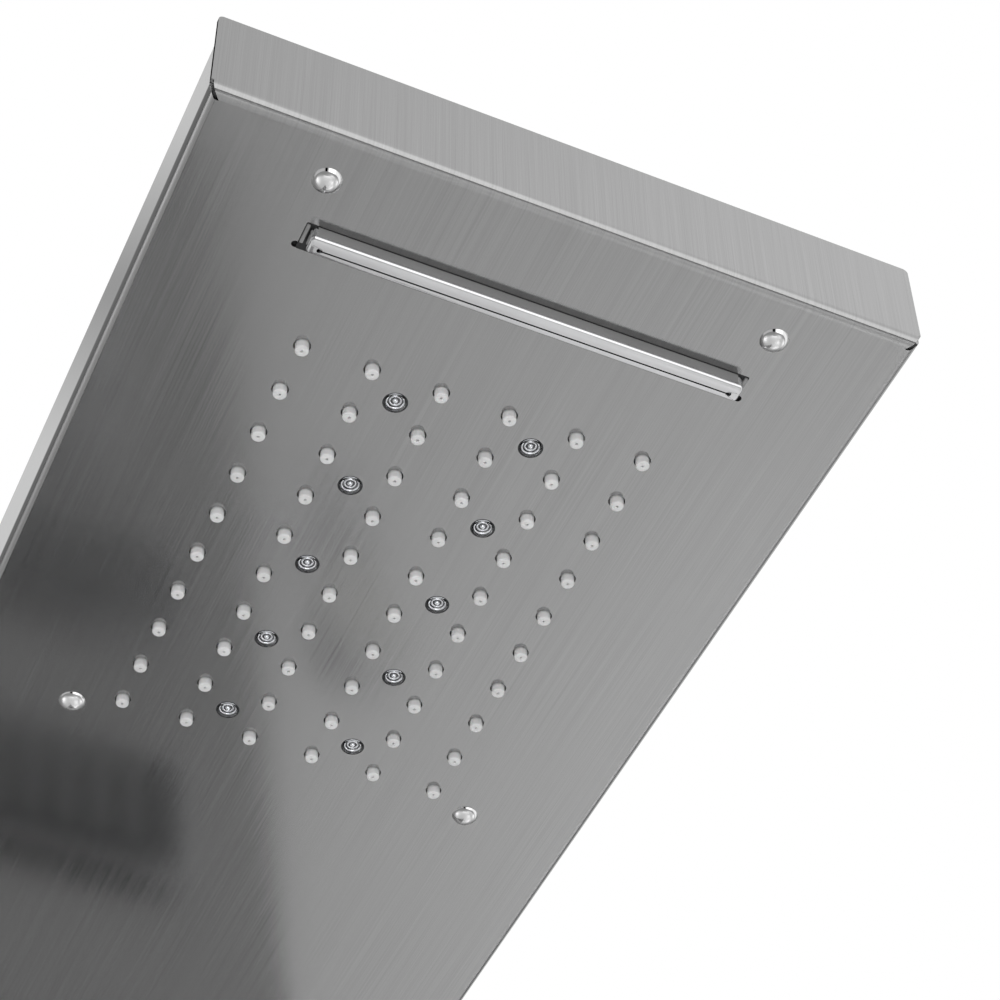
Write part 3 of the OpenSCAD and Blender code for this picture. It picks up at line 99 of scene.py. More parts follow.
# The bent sheet: the head's tilt, the face, the junction of head and column, and the bend between them
TILT = math.radians(15)
FACE_Y = -0.048
JUNCTION_Z = 0.56
BOTTOM_Z = -0.56
HEAD_LEN = 0.443
HALF_W = 0.1
BEND_R = 0.06
BEND_TURN = math.pi / 2 - TILT
BEND_Z = JUNCTION_Z - BEND_R * math.tan(BEND_TURN / 2)

# Depth of the head's sides at the front edge and at the junction, and their slope
SIDE_FRONT = 0.0195
SIDE_BACK = 0.035
SIDE_SLOPE = (SIDE_BACK - SIDE_FRONT) / HEAD_LEN

# The blank's ends: depth of their narrowed part, the start of the flat parts above a lip's bend, the least
# distance from a lip's front to a side's end, and the least height of a row
END_BACK = 0.2 * MM
SEAM = 0.1 * MM
END_GAP = 1.3 * MM
LEAST_ROW = 0.02 * MM

# Places of the small pieces, across and behind the head's front edge, or up the column
NOZZLE_X = (np.arange(6) - 2.5) * 0.020
NOZZLE_F = 0.0663 + np.arange(10) * 0.0161
LENS_X = (NOZZLE_X[1:4:2] + NOZZLE_X[2:5:2]) / 2
LENS_F = (NOZZLE_F[0::2] + NOZZLE_F[1::2]) / 2
DOME_X = 63.5 * MM
DOME_F = (14.7 * MM, 218 * MM)
SPRAY_Z = (0.331, 0.130)

# The waterfall: its slot's middle, the mouthpiece's front edge and outline, the depth of its rim and its slit
SLOT_F = 32.8 * MM
MOUTH_FRONT = 28.95 * MM
MOUTH_SIZE = (123.6 * MM, 5.35 * MM)
RIM = 1.7 * MM
SLIT_F = MOUTH_FRONT + 3.2 * MM

# Heights and radii of the column's round holes for the diverter, the mixer and the spout
ROUND_HOLES = ((-0.05, 17.9 * MM), (-0.2, 20.1 * MM), (-0.44, 10.1 * MM))

# Radius, height and thickness of the bright rings behind a lens, and the same of the ball in their middle
RINGS = ((2.45 * MM, 0.85 * MM, 0.34 * MM), (1.5 * MM, 1.05 * MM, 0.32 * MM))
RING_BALL = (0, 0.95 * MM, 0.8 * MM)

# A corner's two dark dabs of black rubber, which paint the shade inside the corner behind its relief notch:
# distance inside the panel's side, place, power and half sizes
DABS = ((3 * MM, 3 * MM, 4.4 * MM, 0.65, (1.75 * MM, 1.75 * MM, 3.1 * MM)),
        (2.25 * MM, 2.35 * MM, 2.25 * MM, 1, (1.8 * MM, 1.8 * MM, 1.8 * MM)))

# A spray's faceplate as outlines: width, height, corner radius and depth before the frame's front, in mm
FACEPLATE = ((106, 83, 5.5, 0.2), (106, 83, 5.5, -0.1), (105.4, 82.4, 5.2, -0.4), (85.6, 68.6, 0.6, -0.4),
             (85.2, 68.2, 0.4, -0.2), (85.2, 68.2, 0.4, 0.2), (106, 83, 5.5, 0.2))

# Each lamp's name, place, target, size in metres and power in watts
LAMPS = (("lamp_right", (1.05, 0.5, 0.12), (0.5, 0.35, -0.56), 0.6, 6),
         ("lamp_low", (0.85, -0.75, -0.1), (0.4, -0.6, -0.56), 0.5, 2.4),
         ("lamp_left", (-1.5, -1.4, 1.2), (0, -0.2, 0.2), 1.4, 6.5),
         ("lamp_far_left", (-1.9, 0.2, 0.35), (-1.8, 0.2, -0.56), 0.8, 14),
         ("lamp_far_front", (0.9, -2.4, 0.4), (0.95, -2.4, -0.56), 0.8, 9),
         ("lamp_far_right", (3.0, -0.5, 0.8), (3.2, -0.4, -0.56), 1.2, 30),
         ("lamp_front", (-0.5, -2.0, 0.1), (0, -0.4, 0.4), 1.4, 14),
         ("lamp_top", (0.6, -1.0, 2.4), (0, -0.2, 0.2), 2.0, 4.5))
FLOOR_HALF = 6
FLOOR_GAP = 0.004

# The camera: its place, its right, up and back directions, and its lens in millimetres
EYE = (-0.190641, -0.967724, 0.221545)
EYE_AXES = ((0.9121681, -0.3987897, 0.0944251), (-0.2997291, -0.4920535, 0.8173407),
            (-0.2794849, -0.7738541, -0.5683644))
EYE_LENS = 97.868


# Sizes and colours that a user may change

def length(name, text, value):
    """A length property in metres."""
    return bpy.props.FloatProperty(name=name, description=text, default=value, min=0, unit="LENGTH")


def share(name, text, value):
    """A plain number from 0 to 1."""
    return bpy.props.FloatProperty(name=name, description=text, default=value, min=0, max=1,
                                   subtype="FACTOR")


def colour(name, text, *value):
    """A linear colour property."""
    return bpy.props.FloatVectorProperty(name=name, description=text, default=value, size=3, min=0, max=1,
                                         subtype="COLOR")


class ShowerSizes(bpy.types.PropertyGroup):
    """Sizes of the pieces that are drawn here."""
    sheet: length("Sheet", "Thickness of the steel sheet", 1.2 * MM)
    side_bend: length("Side bend", "Outer radius of the bends along the sides", 2.5 * MM)
    lip_bend: length("Lip bend", "Outer radius of the bends at the two lips", 3.2 * MM)
    lip: length("Front lip", "Height of the upturned front lip", 32.5 * MM)
    bottom_lip: length("Bottom lip", "Depth of the turned-in bottom lip", 38 * MM)
    lip_corner: length("Lip corner", "Radius of the lips' free corners", 1.5 * MM)
    notch: length("Relief notch", "Width of the relief slots beside the lips' bends", 0.8 * MM)
    nozzle: length("Nozzle", "Radius of a rain nozzle", 1.92 * MM)
    nozzle_hole: length("Nozzle hole", "Radius of the hole round a nozzle", 2.38 * MM)
    nozzle_front: length("First nozzles", "How far the first row stands out of the sheet", 2.4 * MM)
    nozzle_back: length("Last nozzles", "How far the last row stands out of the sheet", 2.1 * MM)
    lens: length("Lens", "Radius of a light's lens", 3.2 * MM)
    lens_out: length("Lens rise", "How far a lens stands out of the sheet", 0.7 * MM)
    dome: length("Screw head", "Radius of a domed screw head", 3.95 * MM)
    dome_rise: length("Screw head rise", "Height of a domed screw head", 2.4 * MM)
    fall_out: length("Waterfall rise", "How far the waterfall's mouthpiece stands out", 5.2 * MM)


class ShowerColours(bpy.types.PropertyGroup):
    """Colours and finishes, as linear light."""
    steel: colour("Brushed steel", "Colour of the brushed sheet", 0.39, 0.39, 0.39)
    chrome: colour("Chrome", "Colour of the chromed metal", 0.75, 0.75, 0.76)
    silicone: colour("Silicone", "Colour of the rain nozzles", 0.75, 0.75, 0.75)
    polished: colour("Polished steel", "Colour of the mirror-polished steel", 0.88, 0.88, 0.88)
    plastic: colour("White plastic", "Colour of the inner plastic pieces", 0.7, 0.7, 0.68)
    brushed_gloss: share("Brushed roughness", "Roughness of the brushed sheet", 0.13)


# The head's coordinates and the line of the sheet

def on_head(x, f, t):
    """Points at x across, f behind the head's front edge and t above its face, as an (n, 3) array."""
    x, f, t = np.broadcast_arrays(np.asarray(x, float), f, t)
    c, s = math.cos(TILT), math.sin(TILT)
    y = FACE_Y + (f - HEAD_LEN) * c + t * s
    return np.stack([x, y, JUNCTION_Z - (f - HEAD_LEN) * s + t * c], -1)


def head_vectors(v):
    """Turns directions given as across, back and up of the head into the frame."""
    v = np.asarray(v, float)
    c, s = math.cos(TILT), math.sin(TILT)
    return np.stack([v[..., 0], v[..., 1] * c + v[..., 2] * s, v[..., 2] * c - v[..., 1] * s], -1)


def at_bottom(x, f, t):
    """Points at x across, f above the column's bottom edge and t behind its face."""
    return np.stack([x, FACE_Y + t, BOTTOM_Z + f], -1)


# Mesh helpers, each on whole arrays

def linked(name, data):
    """A new object of some data, in the scene."""
    obj = bpy.data.objects.new(name, data)
    bpy.context.scene.collection.objects.link(obj)
    return obj


def piece(name, verts, *faces, smooth=True):
    """A mesh object from an (n, 3) array of points and arrays of face corners."""
    mesh = bpy.data.meshes.new(name)
    corners = [f for part in faces for f in np.asarray(part).tolist()]
    mesh.from_pydata(np.asarray(verts, float).tolist(), [], corners)
    mesh.polygons.foreach_set("use_smooth", np.full(len(mesh.polygons), smooth))
    mesh.update()
    return linked(name, mesh)


def dress(obj, body, slot, *nodes, look=None):
    """Gives a piece its body, its material slot with that slot's finish or another look, and the model's nodes
    that it stands for."""
    obj.data.materials.clear()
    obj.data.materials.append(finishes()[look or slot])
    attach(obj, body)
    if nodes:
        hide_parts(*nodes)


def joined(parts):
    """Points and faces of several (points, quads, triangles) parts as one."""
    verts, quads, tris, n = [], [], [], 0
    for v, q, t in parts:
        verts.append(v)
        quads.append(np.asarray(q, int).reshape(-1, 4) + n)
        tris.append(np.asarray(t, int).reshape(-1, 3) + n)
        n += len(v)
    return np.concatenate(verts), np.concatenate(quads), np.concatenate(tris)


def repeated(part, places):
    """A part at many places: places is (k, 3), added to the part's points."""
    v, q, t = part
    k = len(places)
    step = (np.arange(k) * len(v))[:, None, None]
    verts = (v[None] + np.asarray(places)[:, None]).reshape(-1, 3)
    quads = (np.asarray(q)[None] + step).reshape(-1, 4)
    return verts, quads, (np.asarray(t)[None] + step).reshape(-1, 3)


def turned(profile, sides):
    """A profile of radius and height turned round Z: x = r cos a, y = r sin a, z = h.
    A point of radius nought is a pole. A profile that runs outwards and then down faces outwards."""
    p = np.asarray(profile, float)
    a = np.linspace(0, 2 * math.pi, sides, endpoint=False)
    on_axis = p[:, 0] < 1e-9
    counts = np.where(on_axis, 1, sides)
    first = np.concatenate([[0], np.cumsum(counts)[:-1]])
    index = first[:, None] + np.where(on_axis[:, None], 0, np.arange(sides)[None])
    grid = np.stack([p[:, :1] * np.cos(a), p[:, :1] * np.sin(a), np.repeat(p[:, 1:], sides, 1)], -1)
    verts = np.concatenate([grid[i, :counts[i]] for i in range(len(p))])
    nxt = np.roll(index, -1, 1)
    quads = np.stack([index[:-1], index[1:], nxt[1:], nxt[:-1]], -1)
    low = (on_axis[:-1] & ~on_axis[1:])[:, None].repeat(sides, 1)
    high = (~on_axis[:-1] & on_axis[1:])[:, None].repeat(sides, 1)
    full = (~on_axis[:-1] & ~on_axis[1:])[:, None].repeat(sides, 1)
    return verts, quads[full], np.concatenate([quads[low][:, [0, 1, 2]], quads[high][:, [0, 1, 3]]])


def outward(obj):
    """Merges doubles and turns every face outwards. Edges past the sharp angle stay sharp."""
    b = bmesh.new()
    b.from_mesh(obj.data)
    bmesh.ops.remove_doubles(b, verts=b.verts, dist=1e-7)
    bmesh.ops.recalc_face_normals(b, faces=b.faces)
    b.to_mesh(obj.data)
    b.free()
    obj.data.set_sharp_from_angle(angle=SHARP)
    return obj


def arc(cx, cy, r, a0, a1, n):
    """Points on a circle from angle a0 to a1, in degrees."""
    a = np.radians(np.linspace(a0, a1, n))
    return np.stack([cx + r * np.cos(a), cy + r * np.sin(a)], -1)


def round_box(w, h, r, n=6, at=(0, 0)):
    """Outline of a rectangle with round corners, anticlockwise."""
    r = max(r, 1e-6)
    x, y = w / 2 - r, h / 2 - r
    corners = [(x, -y, -90), (x, y, 0), (-x, y, 90), (-x, -y, 180)]
    return np.concatenate([arc(x, y, r, a, a + 90, n) for x, y, a in corners]) + at


def stacked(rings, closed=True):
    """Rings of equal count, one over another, joined by quads and closed at both ends by fans."""
    rings = np.asarray(rings, float)
    k, n = rings.shape[:2]
    index = np.arange(k * n).reshape(k, n)
    nxt = np.roll(index, -1, 1)
    quads = np.stack([index[:-1], nxt[:-1], nxt[1:], index[1:]], -1).reshape(-1, 4)
    verts = rings.reshape(-1, 3)
    if not closed:
        return verts, quads, np.zeros((0, 3), int)
    verts = np.concatenate([verts, rings[0].mean(0)[None], rings[-1].mean(0)[None]])
    low = np.stack([nxt[0], index[0], np.full(n, k * n)], -1)
    high = np.stack([index[-1], nxt[-1], np.full(n, k * n + 1)], -1)
    return verts, quads, np.concatenate([low, high])


# The bent sheet: a flat blank with its holes, folded by formula

def inside_convex(points, outline):
    """True for points inside a convex outline that runs anticlockwise."""
    along = np.roll(outline, -1, 0) - outline
    off = points[:, None] - outline[None]
    return (along[:, 0] * off[..., 1] - along[:, 1] * off[..., 0] > 0).all(1)


def cut_blank(outline, holes):
    """Triangles of a flat outline with convex holes cut out of it, by a constrained triangulation."""
    loops = [np.asarray(outline, float)] + [np.asarray(h, float) for h in holes]
    points = np.concatenate(loops)
    edges, n = [], 0
    for loop in loops:
        i = np.arange(len(loop))
        edges.append(np.stack([i, np.roll(i, -1)], -1) + n)
        n += len(loop)
    out = delaunay_2d_cdt([Vector(p) for p in points], np.concatenate(edges).tolist(), [], 1, 1e-7)
    verts = np.array([tuple(p) for p in out[0]])
    tris = np.array(out[2])
    centre = verts[tris].mean(1)
    keep = np.ones(len(tris), bool)
    for hole in holes:
        keep &= ~inside_convex(centre, hole)
    return verts, tris[keep]


def head_holes(sizes):
    """Outlines of the holes in the head's face, in across and back."""
    holes = [arc(x, f, sizes.nozzle_hole, 0, 345, 24) for x in NOZZLE_X for f in NOZZLE_F]
    holes += [arc(x, f, sizes.lens + 0.3 * MM, 0, 350, 36) for x in LENS_X for f in LENS_F]
    holes.append(round_box(126.8 * MM, 8.8 * MM, 0.5 * MM, 4, (0, SLOT_F)))
    holes += [arc(a * 63.8 * MM, 36.1 * MM, 1 * MM, 7, 352, 24) for a in (-1, 1)]
    return holes


def column_holes():
    """Outlines of the holes in the column's face, in across and up."""
    holes = [round_box(93.2 * MM, 76.2 * MM, 1 * MM, 3, (0, z)) for z in SPRAY_Z]
    return holes + [arc(0, z, r, 0, 352.5, 48) for z, r in ROUND_HOLES]


def sheet_solid(name, verts, normals, faces, thickness, uv):
    """A closed sheet: the outer skin, the same skin moved by the thickness along its inward normals, and a rim
    at every free edge. Corner normals are the formula's own, so flat stays flat and bends stay round."""
    n = len(verts)
    inner = verts + thickness * normals
    flat = [np.asarray(f) for f in faces]
    pairs = np.array([(f[i], f[(i + 1) % len(f)]) for f in flat for i in range(len(f))])
    key = pairs[:, 0] * n + pairs[:, 1]
    free = pairs[~np.isin(key, pairs[:, 1] * n + pairs[:, 0])]
    rim = np.stack([free[:, 1], free[:, 0], free[:, 0] + n, free[:, 1] + n], -1)
    every = [f.tolist() for f in flat] + [(f[::-1] + n).tolist() for f in flat] + rim.tolist()
    points = np.concatenate([verts, inner])
    mesh = bpy.data.meshes.new(name)
    mesh.from_pydata(points.tolist(), [], every)
    mesh.polygons.foreach_set("use_smooth", np.full(len(mesh.polygons), True))
    corners = np.concatenate([np.asarray(f) for f in every])
    both = np.concatenate([-normals, normals])[corners]
    a, b, c = points[rim[:, 0]], points[rim[:, 1]], points[rim[:, 3]]
    side = np.cross(b - a, c - a)
    side /= np.linalg.norm(side, axis=1)[:, None] + 1e-20
    both[-4 * len(rim):] = side.repeat(4, 0)
    mesh.normals_split_custom_set(both.tolist())
    layer = mesh.uv_layers.new(name="blank")
    layer.data.foreach_set("uv", np.concatenate([uv, uv])[corners].ravel())
    mesh.update()
    return linked(name, mesh)


def wall_edge_z():
    """Height at which the head's sloping free edge meets the wall."""
    c, s = math.cos(TILT), math.sin(TILT)
    meet = (-FACE_Y - SIDE_BACK * s) / (c + SIDE_SLOPE * s)
    return JUNCTION_Z - meet * s + (SIDE_BACK + SIDE_SLOPE * meet) * c


def grid_patch(u, v):
    """A grid of blank places and its quads."""
    rows, cols = u.shape
    i = (np.arange(rows - 1)[:, None] * cols + np.arange(cols - 1)).ravel()
    return np.stack([u.ravel(), v.ravel()], -1), np.stack([i, i + 1, i + cols + 1, i + cols], -1)


def merged(patches):
    """Patches of (points, normals, places, faces) as one skin: equal points become one, and each face is
    turned outwards."""
    points, normals, uv = (np.concatenate([p[k] for p in patches]) for k in range(3))
    keys = np.round(points * 1e6).astype(int)
    _, first, back = np.unique(keys, axis=0, return_index=True, return_inverse=True)
    back = back.ravel()
    faces, n = [], 0
    for p in patches:
        faces += [back[np.asarray(f) + n] for f in p[3]]
        n += len(p[0])
    points, normals, uv = points[first], normals[first], uv[first]
    turned_out = []
    for f in faces:
        loop = points[f]
        out = np.cross(loop, np.roll(loop, -1, 0)).sum(0) @ normals[f].sum(0)
        turned_out.append(f[::-1] if out > 0 else f)
    return points, normals, uv, turned_out


def folded(u, v, sizes):
    """The sheet's outer skin over its flat blank, and its inward normals.
    Along v the face runs straight up the column, round an arc of 60 mm and straight along the head.
    Across u it is flat, then turns through a quarter circle at each side and runs straight to the edge."""
    u, v = np.broadcast_arrays(np.asarray(u, float), v)
    straight = BEND_Z - BOTTOM_Z - sizes.lip_bend
    a = np.clip((v - straight) / BEND_R, 0, BEND_TURN)
    over = np.maximum(v - straight - BEND_R * BEND_TURN, 0)
    y = FACE_Y - BEND_R + BEND_R * np.cos(a) - over * math.cos(TILT)
    z = BEND_Z + BEND_R * np.sin(a) + over * math.sin(TILT) + np.minimum(v - straight, 0)
    flat, r = HALF_W - sizes.side_bend, sizes.side_bend
    b = np.clip((np.abs(u) - flat) / r, 0, math.pi / 2)
    x = np.sign(u) * (np.minimum(np.abs(u), flat) + r * np.sin(b))
    depth = r * (1 - np.cos(b)) + np.maximum(np.abs(u) - flat - r * math.pi / 2, 0)
    point = np.stack([x, y + depth * np.cos(a), z + depth * np.sin(a)], -1)
    normal = np.stack([-np.sign(u) * np.sin(b), np.cos(b) * np.cos(a), np.cos(b) * np.sin(a)], -1)
    return point, normal


def side_depth(v, sizes):
    """Depth of a side along v: it ends at the wall, or at the head's sloping free edge where that is first."""
    p, n = folded(np.zeros_like(v), v, sizes)
    c, s = math.cos(TILT), math.sin(TILT)
    dy, dz = p[..., 1] - FACE_Y, p[..., 2] - JUNCTION_Z
    f, t = HEAD_LEN + dy * c - dz * s, dy * s + dz * c
    nf, nt = n[..., 1] * c - n[..., 2] * s, n[..., 1] * s + n[..., 2] * c
    wall = -p[..., 1] / np.maximum(n[..., 1], 1e-9)
    rise = nt - SIDE_SLOPE * nf
    free = (SIDE_FRONT + SIDE_SLOPE * f - t) / np.where(np.abs(rise) < 1e-9, 1, rise)
    return np.where(free > 0, np.minimum(wall, free), wall)


def lip_patch(place, height, v_end, sizes):
    """A lip: a quarter circle from the face and a flat sheet with round free corners. The bend's side edges
    follow the side's bend, one slot's width inside it.
    place(x, f, t) gives points, v_end is the blank's end and height is the lip's."""
    r, notch, side = sizes.lip_bend, sizes.notch, sizes.side_bend
    a = np.radians(np.linspace(0, 90, 9))
    f, t = r - r * np.sin(a), r - r * np.cos(a)
    edge = HALF_W - notch - side + np.sqrt(side**2 - np.maximum(side - t, 0) ** 2)
    x = np.stack([-edge, edge], -1)
    at = [place(x.ravel(), f.repeat(2), t.repeat(2))]
    normals = [np.stack([0 * a, np.sin(a), np.cos(a)], -1).repeat(2, 0)]
    uv = [np.stack([x.ravel(), (v_end + r * a).repeat(2)], -1)]
    i = np.arange(8) * 2
    faces = list(np.stack([i, i + 1, i + 3, i + 2], -1))
    c = sizes.lip_corner
    right = np.concatenate([[[edge[-1], r], [HALF_W - notch, r + SEAM], [HALF_W, r + SEAM]],
                            arc(HALF_W - c, height - c, c, 0, 90, 7)])
    outline = np.concatenate([right, right[::-1] * (-1, 1)])
    at.append(place(outline[:, 0], 0 * outline[:, 0], outline[:, 1]))
    normals.append(np.tile([0.0, 1, 0], (len(outline), 1)))
    uv.append(np.stack([outline[:, 0], v_end + r * math.pi / 2 + outline[:, 1] - r], -1))
    faces.append(np.arange(len(outline)) + 2 * len(a))
    return np.concatenate(at), np.concatenate(normals), np.concatenate(uv), faces


def end_rows(t, sizes):
    """Where a side ends at depth t, as a distance short of the face's end: it keeps three quarters of a
    slot's width behind the lip's bend, and at least the end gap behind the lip's front."""
    r = sizes.lip_bend
    curve = r - np.sqrt(r**2 - np.maximum(r - t, 0) ** 2)
    return np.maximum(curve + 0.75 * sizes.notch, END_GAP) - r


def panel_skin(sizes):
    """All patches of the sheet's outer skin: points, inward normals, blank places and faces, merged where
    they meet."""
    straight = BEND_Z - BOTTOM_Z - sizes.lip_bend
    bend_end = straight + BEND_R * BEND_TURN
    end = bend_end + HEAD_LEN - BEND_R * math.tan(BEND_TURN / 2) - sizes.lip_bend
    flat, r, back = HALF_W - sizes.side_bend, sizes.side_bend, END_BACK
    narrow = flat - sizes.notch
    patches = []

    def add(uv, faces):
        """Folds a flat patch and keeps it."""
        patches.append((*folded(uv[:, 0], uv[:, 1], sizes), uv, list(faces)))

    head = [(-narrow, end), (-narrow, end - back), (-flat, end - back), (-flat, bend_end)]
    head = np.array(head + [(-x, v) for x, v in head[::-1]])[::-1]
    add(*cut_blank(head, [h[::-1] * (1, -1) + (0, end + sizes.lip_bend) for h in head_holes(sizes)]))
    column = [(-narrow, 0), (-narrow, back), (-flat, back), (-flat, straight)]
    column = np.array(column + [(-x, v) for x, v in column[::-1]])[::-1]
    add(*cut_blank(column, [h - (0, BOTTOM_Z + sizes.lip_bend) for h in column_holes()]))
    corner = math.atan2(wall_edge_z() - BEND_Z, -(FACE_Y - BEND_R))
    fan = straight + BEND_R * np.unique(np.concatenate([np.linspace(0, BEND_TURN, 41), [corner]]))
    i = np.arange(len(fan) - 1) * 2
    strip = np.stack([np.tile([-flat, flat], len(fan)), fan.repeat(2)], -1)
    add(strip, np.stack([i, i + 1, i + 3, i + 2], -1))
    bend_u = flat + r * np.linspace(0, math.pi / 2, 9)
    deep = flat + r * math.pi / 2 - r
    low = r + SEAM
    rows = np.concatenate([[back], fan, [end - back]])
    short = end_rows(np.append(r * (1 - np.cos((bend_u - flat) / r)), low), sizes)
    for sign in (-1, 1):
        lines = np.concatenate([np.tile(bend_u, (len(rows), 1)), np.full((len(rows), 1), deep + low),
                                (deep + side_depth(rows, sizes))[:, None]], 1)
        add(*grid_patch(sign * lines, rows[:, None] + 0 * lines))
        ends = np.tile(lines[0, :-1], (2, 1))
        top = np.maximum(end - short, end - back + LEAST_ROW)
        add(*grid_patch(sign * ends, np.stack([0 * short + end - back, top])))
        add(*grid_patch(sign * ends, np.stack([np.minimum(short, back - LEAST_ROW), 0 * short + back])))
        for two in ([END_GAP - sizes.lip_bend, back], [end - back, end + sizes.lip_bend - END_GAP]):
            two = np.array(two)
            lines = np.stack([np.full(2, deep + low), deep + side_depth(two, sizes)], -1)
            add(*grid_patch(sign * lines, two[:, None] + 0 * lines))
    p, n, uv, faces = lip_patch(on_head, sizes.lip, end, sizes)
    patches.append((p, head_vectors(n), uv, faces))
    p, n, uv, faces = lip_patch(at_bottom, sizes.bottom_lip, 0, sizes)
    patches.append((p, n[:, [0, 2, 1]], uv * (1, -1), faces))
    return merged(patches)


# Materials

class Graph:
    """The node tree of a material or a world, with short ways to add to it."""

    def __init__(self, owner):
        """Switches the nodes on and finds the Principled shader, which a world hasn't."""
        owner.use_nodes = True
        self.owner, self.nodes = owner, owner.node_tree.nodes
        self.link = owner.node_tree.links.new
        self.shader = self.nodes.get("Principled BSDF")

    def feed(self, socket, value):
        """Gives a socket a value or another node's output."""
        if isinstance(value, bpy.types.NodeSocket):
            self.link(value, socket)
        else:
            socket.default_value = value

    def put(self, node, **values):
        """Feeds a node's sockets by name, with _ for a space."""
        for key, value in values.items():
            self.feed(node.inputs[key.replace("_", " ")], value)

    def new(self, kind, **values):
        """A new node with some of its sockets fed."""
        node = self.nodes.new("ShaderNode" + kind)
        self.put(node, **values)
        return node

    def place(self):
        """The coordinates of the object, which are the frame's."""
        return self.new("TexCoord").outputs["Object"]

    def noise(self, at, scale, detail=3.0, rough=0.5):
        """A noise texture on coordinates stretched by a three-number scale."""
        at = self.new("Mapping", Vector=at, Scale=scale).outputs["Vector"]
        return self.new("TexNoise", Vector=at, Scale=1.0, Detail=detail, Roughness=rough).outputs["Fac"]

    def ranged(self, value, low, high, out_low, out_high):
        """A value moved from one range to another and kept inside it."""
        return self.new("MapRange", Value=value, From_Min=low, From_Max=high, To_Min=out_low,
                        To_Max=out_high).outputs["Result"]

    def tinted(self, fac, low, high):
        """A colour between two, by a factor."""
        mix = self.new("Mix")
        mix.data_type = "RGBA"
        self.put(mix, A=(*low, 1), B=(*high, 1), Factor=fac)
        return mix.outputs["Result"]

    def math(self, kind, a, b):
        """Two values joined by an operation."""
        node = self.new("Math")
        node.operation = kind
        for socket, value in zip(node.inputs, (a, b)):
            self.feed(socket, value)
        return node.outputs[0]

    def bump(self, height, strength, distance):
        """A bump on the shader from a height value."""
        node = self.new("Bump", Height=height, Strength=strength, Distance=distance)
        self.put(self.shader, Normal=node.outputs["Normal"])


def graph_of(name):
    """The graph of a new material."""
    return Graph(bpy.data.materials.new(name))


def scaled(rgb, k):
    """A colour times a number, at most 1."""
    return tuple(min(c * k, 1) for c in rgb)


def brushed_steel(colours):
    """Sheet steel with straight grain along the blank's length: fine stretched noise in colour, gloss and
    height, and a few long scratches."""
    g = graph_of("brushed_steel")
    uv = g.new("UVMap")
    uv.uv_map = "blank"
    at = uv.outputs["UV"]
    fine = g.noise(at, (3600, 14, 1), 3, 0.6)
    wide = g.noise(at, (700, 3, 1), 2)
    cloud = g.noise(at, (9, 4, 1), 2)
    streak = g.math("ADD", g.math("MULTIPLY", fine, 0.72), g.math("MULTIPLY", wide, 0.28))
    scratch = g.ranged(g.noise(at, (260, 6, 1), 1), 0.735, 0.76, 0, 0.22)
    steel = tuple(colours.steel)
    tone = g.math("ADD", g.ranged(streak, 0.3, 0.7, 0, 1), scratch)
    grain, drift = g.ranged(streak, 0.3, 0.7, -0.03, 0.03), g.ranged(cloud, 0.3, 0.7, -0.01, 0.02)
    tangent = g.new("Tangent")
    tangent.direction_type = "UV_MAP"
    tangent.uv_map = "blank"
    g.put(g.shader, Base_Color=g.tinted(tone, scaled(steel, 0.9), scaled(steel, 1.1)),
          Roughness=g.math("ADD", g.math("ADD", grain, drift), colours.brushed_gloss), Metallic=1.0,
          Anisotropic=0.3, Tangent=tangent.outputs["Tangent"])
    g.bump(fine, 0.1, 0.00001)
    return g.owner


def metal(name, rgb, rough, smudge=0.03, grain=0.0, tint=0.92):
    """Cast or turned metal: soft smudges in gloss and colour, and a fine grain where it isn't polished."""
    g = graph_of(name)
    at = g.place()
    cloud = g.noise(at, (60, 60, 60), 4)
    g.put(g.shader, Base_Color=g.tinted(g.ranged(cloud, 0.3, 0.7, 0, 1), scaled(rgb, tint), rgb),
          Roughness=g.ranged(cloud, 0.3, 0.7, max(rough - smudge, 0.02), rough + smudge), Metallic=1.0)
    if grain:
        g.bump(g.noise(at, (1800, 1800, 1800), 2), grain, 0.00004)
    return g.owner


def moulded(name, rgb, rough, grain=0.1, under=0.0):
    """Moulded plastic or rubber: slight colour drift, uneven gloss and a fine mould grain."""
    g = graph_of(name)
    at = g.place()
    cloud = g.noise(at, (45, 45, 45))
    g.put(g.shader, Base_Color=g.tinted(g.ranged(cloud, 0.3, 0.7, 0, 1), scaled(rgb, 0.9), rgb),
          Roughness=g.ranged(cloud, 0.3, 0.7, rough - 0.04, rough + 0.05), Subsurface_Weight=under,
          Subsurface_Scale=0.001)
    g.bump(g.noise(at, (900, 900, 900), 2), grain, 0.00005)
    return g.owner


def clear_plastic():
    """Clear lens plastic, with faint moulding marks in its gloss."""
    g = graph_of("clear_plastic")
    marks = g.noise(g.place(), (300, 300, 300), 2)
    g.put(g.shader, Roughness=g.ranged(marks, 0.3, 0.7, 0.02, 0.06), Base_Color=(0.97, 0.98, 1, 1),
          Transmission_Weight=1.0, IOR=1.49)
    return g.owner


def braided_hose():
    """A hose with a crossed braid: two slanted waves in colour and height, on the frame's coordinates."""
    g = graph_of("braided_hose")
    at = g.place()
    waves = []
    for slant in (1, -1):
        turn = g.new("Mapping", Vector=at, Rotation=(slant * 0.6, slant * 0.75, 0.2))
        wave = g.new("TexWave", Vector=turn.outputs["Vector"], Scale=160, Distortion=0.4, Detail=1)
        waves.append(wave.outputs["Fac"])
    weave = g.math("MAXIMUM", *waves)
    g.put(g.shader, Base_Color=g.tinted(weave, (0.16, 0.17, 0.18), (0.55, 0.56, 0.58)), Metallic=0.75,
          Roughness=0.38)
    g.bump(weave, 0.6, 0.0003)
    return g.owner


